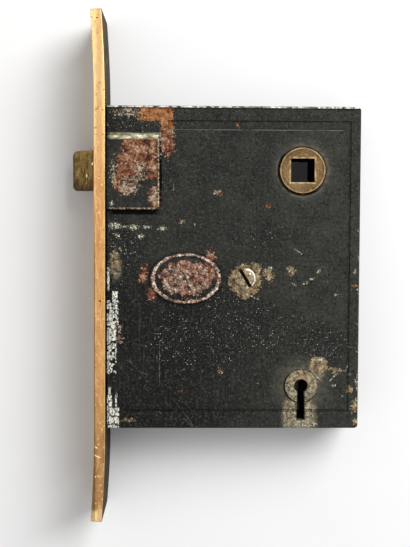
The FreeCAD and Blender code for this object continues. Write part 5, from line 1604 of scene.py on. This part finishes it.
    def build(self) -> None:
        """Make the cap's screw and the plate's two screws from the same tree."""
        tree = self.tree()
        iron = WornScrew(
            "scraped iron of the cap screw", "#8c7a5c", "#54432f", "#d8cbb2", 0.55, 0.6, 2.0
        ).make()
        brass = AgedMetal(
            "brass of the plate's screws", "#a8854e", "#5f4a2b", "#dcbf85", 0.42, 1.0, 2.0
        ).make()
        common = {
            "Shank Radius": self.shank,
            "Slot Width": self.slot_width,
            "Slot Depth": self.slot_depth,
            "Thread Pitch": self.pitch,
            "Thread Depth": self.thread,
        }
        cap = {
            "Head Radius": self.head,
            "Length": self.cap_length,
            "Rise": self.cap_rise,
            "Crown Radius": self.head * self.cap_crown,
            "Spacing": 0.0,
        }
        others = {"Count": 1, "Slot Turn": math.radians(self.cap_turn), "Finish": iron}
        mesh = grown(tree, {**common, **cap}, others)
        mesh.transform(Matrix.Translation(Vector((*SCREW, CAP_LEVEL)) * MM))
        piece = new_piece("cap_screw_worn", mesh, 30.0)
        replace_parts(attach(piece, "lock_body"), "cap_screw")
        plate = {
            "Head Radius": self.plate_head,
            "Length": self.plate_length,
            "Rise": self.plate_rise,
            "Crown Radius": self.plate_head * self.plate_crown,
            "Spacing": self.plate_spacing,
        }
        others = {"Count": 2, "Slot Turn": math.radians(self.plate_turn), "Finish": brass}
        mesh = grown(tree, {**common, **plate}, others)
        # the screws' line turns from X to Y, and their heads from +Z to -X
        turn = Matrix(((0, 0, -1), (-1, 0, 0), (0, 1, 0))).to_4x4()
        mesh.transform(Matrix.Translation(Vector((self.plate_face, 0.0, 0.0)) * MM) @ turn)
        piece = new_piece("plate_screws_threaded", mesh, 30.0)
        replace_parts(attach(piece, "lock_body"), "plate_screws")


@dataclass(frozen=True)
class LatchSpring:
    """Coil spring round the latch's shank, with a closed turn at each end."""

    start: float = 6.85
    length: float = 16.9
    centre: tuple[float, float] = (27.0, 0.6)
    radius: float = 3.1
    wire: float = 0.9
    turns: float = 7.0
    pressed: float = 0.58

    def tree(self) -> NodeTree:
        """Build the tree: a circle swept along a helix whose first and last turns lie close.

        Returns:
            The tree.
        """
        names = ("Radius", "Wire", "Length", "Turns")
        tree, add = geometry_tree("coil_spring", names, {"Finish": "Material"})
        size = add("NodeGroupInput").outputs
        radii = {"Start Radius": size["Radius"], "End Radius": size["Radius"]}
        wires = {"Resolution": 28, "Rotations": size["Turns"], **radii, "Height": 0.0}
        helix = add("GeometryNodeCurveSpiral", None, wires)
        along = add("GeometryNodeSplineParameter").outputs["Factor"]
        one = add(*OVER, {0: 1.0, 1: size["Turns"]})
        last = add(*MINUS, {0: 1.0, 1: one})
        closed = add(*TIMES, {0: size["Wire"], 1: 1.02})
        ends = add(*TIMES_PLUS, {0: closed, 1: -2.0, 2: size["Length"]})
        free = add(*MINUS, {0: ends, 1: size["Wire"]})
        # how much each stretch of the coil lifts the wire
        lift = None
        for start, end, rise in ((0.0, one, closed), (one, last, free), (last, 1.0, closed)):
            wires = {0: along, 1: start, 2: end, 4: rise}
            stretch = add("ShaderNodeMapRange", None, wires)
            lift = stretch if lift is None else add(*PLUS, {0: lift, 1: stretch})
        wires = {"Geometry": helix, "Offset": add(*VECTOR, {2: lift})}
        raised = add("GeometryNodeSetPosition", None, wires)
        half = add(*TIMES, {0: size["Wire"], 1: 0.5})
        section = add("GeometryNodeCurvePrimitiveCircle", None, {"Resolution": 10, "Radius": half})
        wires = {"Curve": raised, "Profile Curve": section, "Fill Caps": True}
        end_tree(add, add("GeometryNodeCurveToMesh", None, wires), size["Finish"])
        return tree

    def build(self) -> None:
        """Make the spring along the latch's axis."""
        steel = AgedMetal("blued spring steel", "#55585c", "#2c2a2a", "#8d9096", 0.35).make()
        sizes = {"Radius": self.radius, "Wire": self.wire, "Length": self.length}
        mesh = grown(self.tree(), sizes, {"Turns": self.turns, "Finish": steel})
        place = Vector((self.start + self.wire / 2, *self.centre)) * MM
        mesh.transform(Matrix.Translation(place) @ Matrix.Rotation(math.radians(90), 4, "Y"))
        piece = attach(new_piece("latch_coil_spring", mesh, 60.0), "lock_body")
        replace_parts(piece, "latch_spring")
        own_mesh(piece)


@dataclass(frozen=True)
class LeafSprings:
    """The levers' leaf springs."""

    levers: tuple[tuple[str, str], ...] = (
        ("lever_spring_lower", "first_lever"),
        ("lever_spring_middle", "second_lever"),
        ("lever_spring_upper", "third_lever"),
    )
    bend_start: tuple[float, float, float] = (46.0, -7.1, 1.5)
    bend_end: tuple[float, float, float] = (59.4, -5.7, 1.5)
    parts: int = 18

    def build(self) -> None:
        """Cut a copy of each leaf along its length and put it in place of the CAD leaf."""
        steel = AgedMetal("blued leaf spring steel", "#55585c", "#2e2c2c", "#8d9096", 0.34).make()
        for node, lever in self.levers:
            bm = merged_copy(node)
            divide(bm, 0, self.parts)
            piece = new_piece(node + "_leaf", plain_mesh(bm))
            piece.data.materials.append(steel)
            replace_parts(piece, node)
            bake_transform(piece)


@dataclass(frozen=True)
class LatchHead:
    """The latch's bevelled head, its corners rounded and its faces dented by the strike."""

    rounding: float = 0.35
    dent: float = 0.07
    parts: tuple[int, int, int] = (16, 12, 12)
    nicks: tuple[Mark, ...] = (
        Mark(-2.5, 28.7, 0.26, 0.62, -25.0),
        Mark(-4.3, 25.5, 0.24, 0.75, 12.0),
    )

    def build(self) -> None:
        """Round the CAD head's edges, divide its faces evenly and dent them."""
        bm = softened("latch_head", self.rounding)
        for axis, parts in enumerate(self.parts):
            divide(bm, axis, parts)
        bm.normal_update()
        moves = {}
        for vert in bm.verts:
            rough = noise.fractal(vert.co / MM * 0.7, 1.0, 2.0, 3)
            moves[vert] = vert.normal * min(0.0, rough - 0.1) * self.dent * 2 * MM
        for vert, move in moves.items():
            vert.co += move
        piece = new_piece("latch_head_worn", plain_mesh(bm), 50.0)
        tones = ("#82672f", "#54421d", "#ab9054")
        name = "greasy brass of the latch head"
        finish = LatchBrass(name, *tones, 0.42, 1.0, 2.0, (1, 5, 1), self.nicks)
        piece.data.materials.append(finish.make())
        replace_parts(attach(piece, "latch"), "latch_head")


@dataclass(frozen=True)
class LockBody:
    """The case, its cap with the medallion, and the face plate."""

    def build(self) -> None:
        """Dress the case, cap and plate, and build the medallion."""
        dress("lock_case", Japan("black japan on cast iron").make())
        Medallion().build()
        dress("case_cap", Japan("worn black japan on the cap", CAP_MARKS).make())
        dress("face_plate", PlateBrass().make())


class Works(Enum):
    """The metals inside the case and the nodes made of each."""

    LEVER_BRASS = ("lever_lower", "lever_middle", "lever_upper")
    WORK_STEEL = (
        "latch_fork", "latch_rivet", "spring_washer", "deadbolt_tail", "deadbolt_rivet", "deadbolt_stump",
        "bolt_guide_post", "lever_post", "lever_spacer", "spring_stop_pin",
    )


WORKS_FINISHES = {
    Works.LEVER_BRASS: AgedMetal(
        "rolled brass of the levers", "#b08f55", "#7a6138", "#dcc084", 0.38, 1.0, 3.0, (5, 1, 1)
    ),
    Works.WORK_STEEL: AgedMetal("oiled mild steel of the works", "#7d7a74", "#4a4641", "#b7b4ad", 0.4),
}


def main() -> None:
    """Build the scene and report its pieces."""
    logging.basicConfig(level=logging.INFO, format="%(name)s: %(message)s")
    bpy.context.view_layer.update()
    Studio().build()
    LockBody().build()
    dress("spindle_hub", HubBrass("cast brass of the hub", "#735c41", "#4e3d2a", "#917854", 0.5).make())
    bolt = AgedMetal("cast brass of the dead bolt", "#a58a52", "#6d5630", "#d9bd80", 0.42)
    dress("deadbolt_head", bolt.make())
    Screws().build()
    LatchSpring().build()
    LeafSprings().build()
    LatchHead().build()
    for works, finish in WORKS_FINISHES.items():
        material = finish.make()
        for node in works.value:
            dress(node, material)


if __name__ == "__main__":
    main()
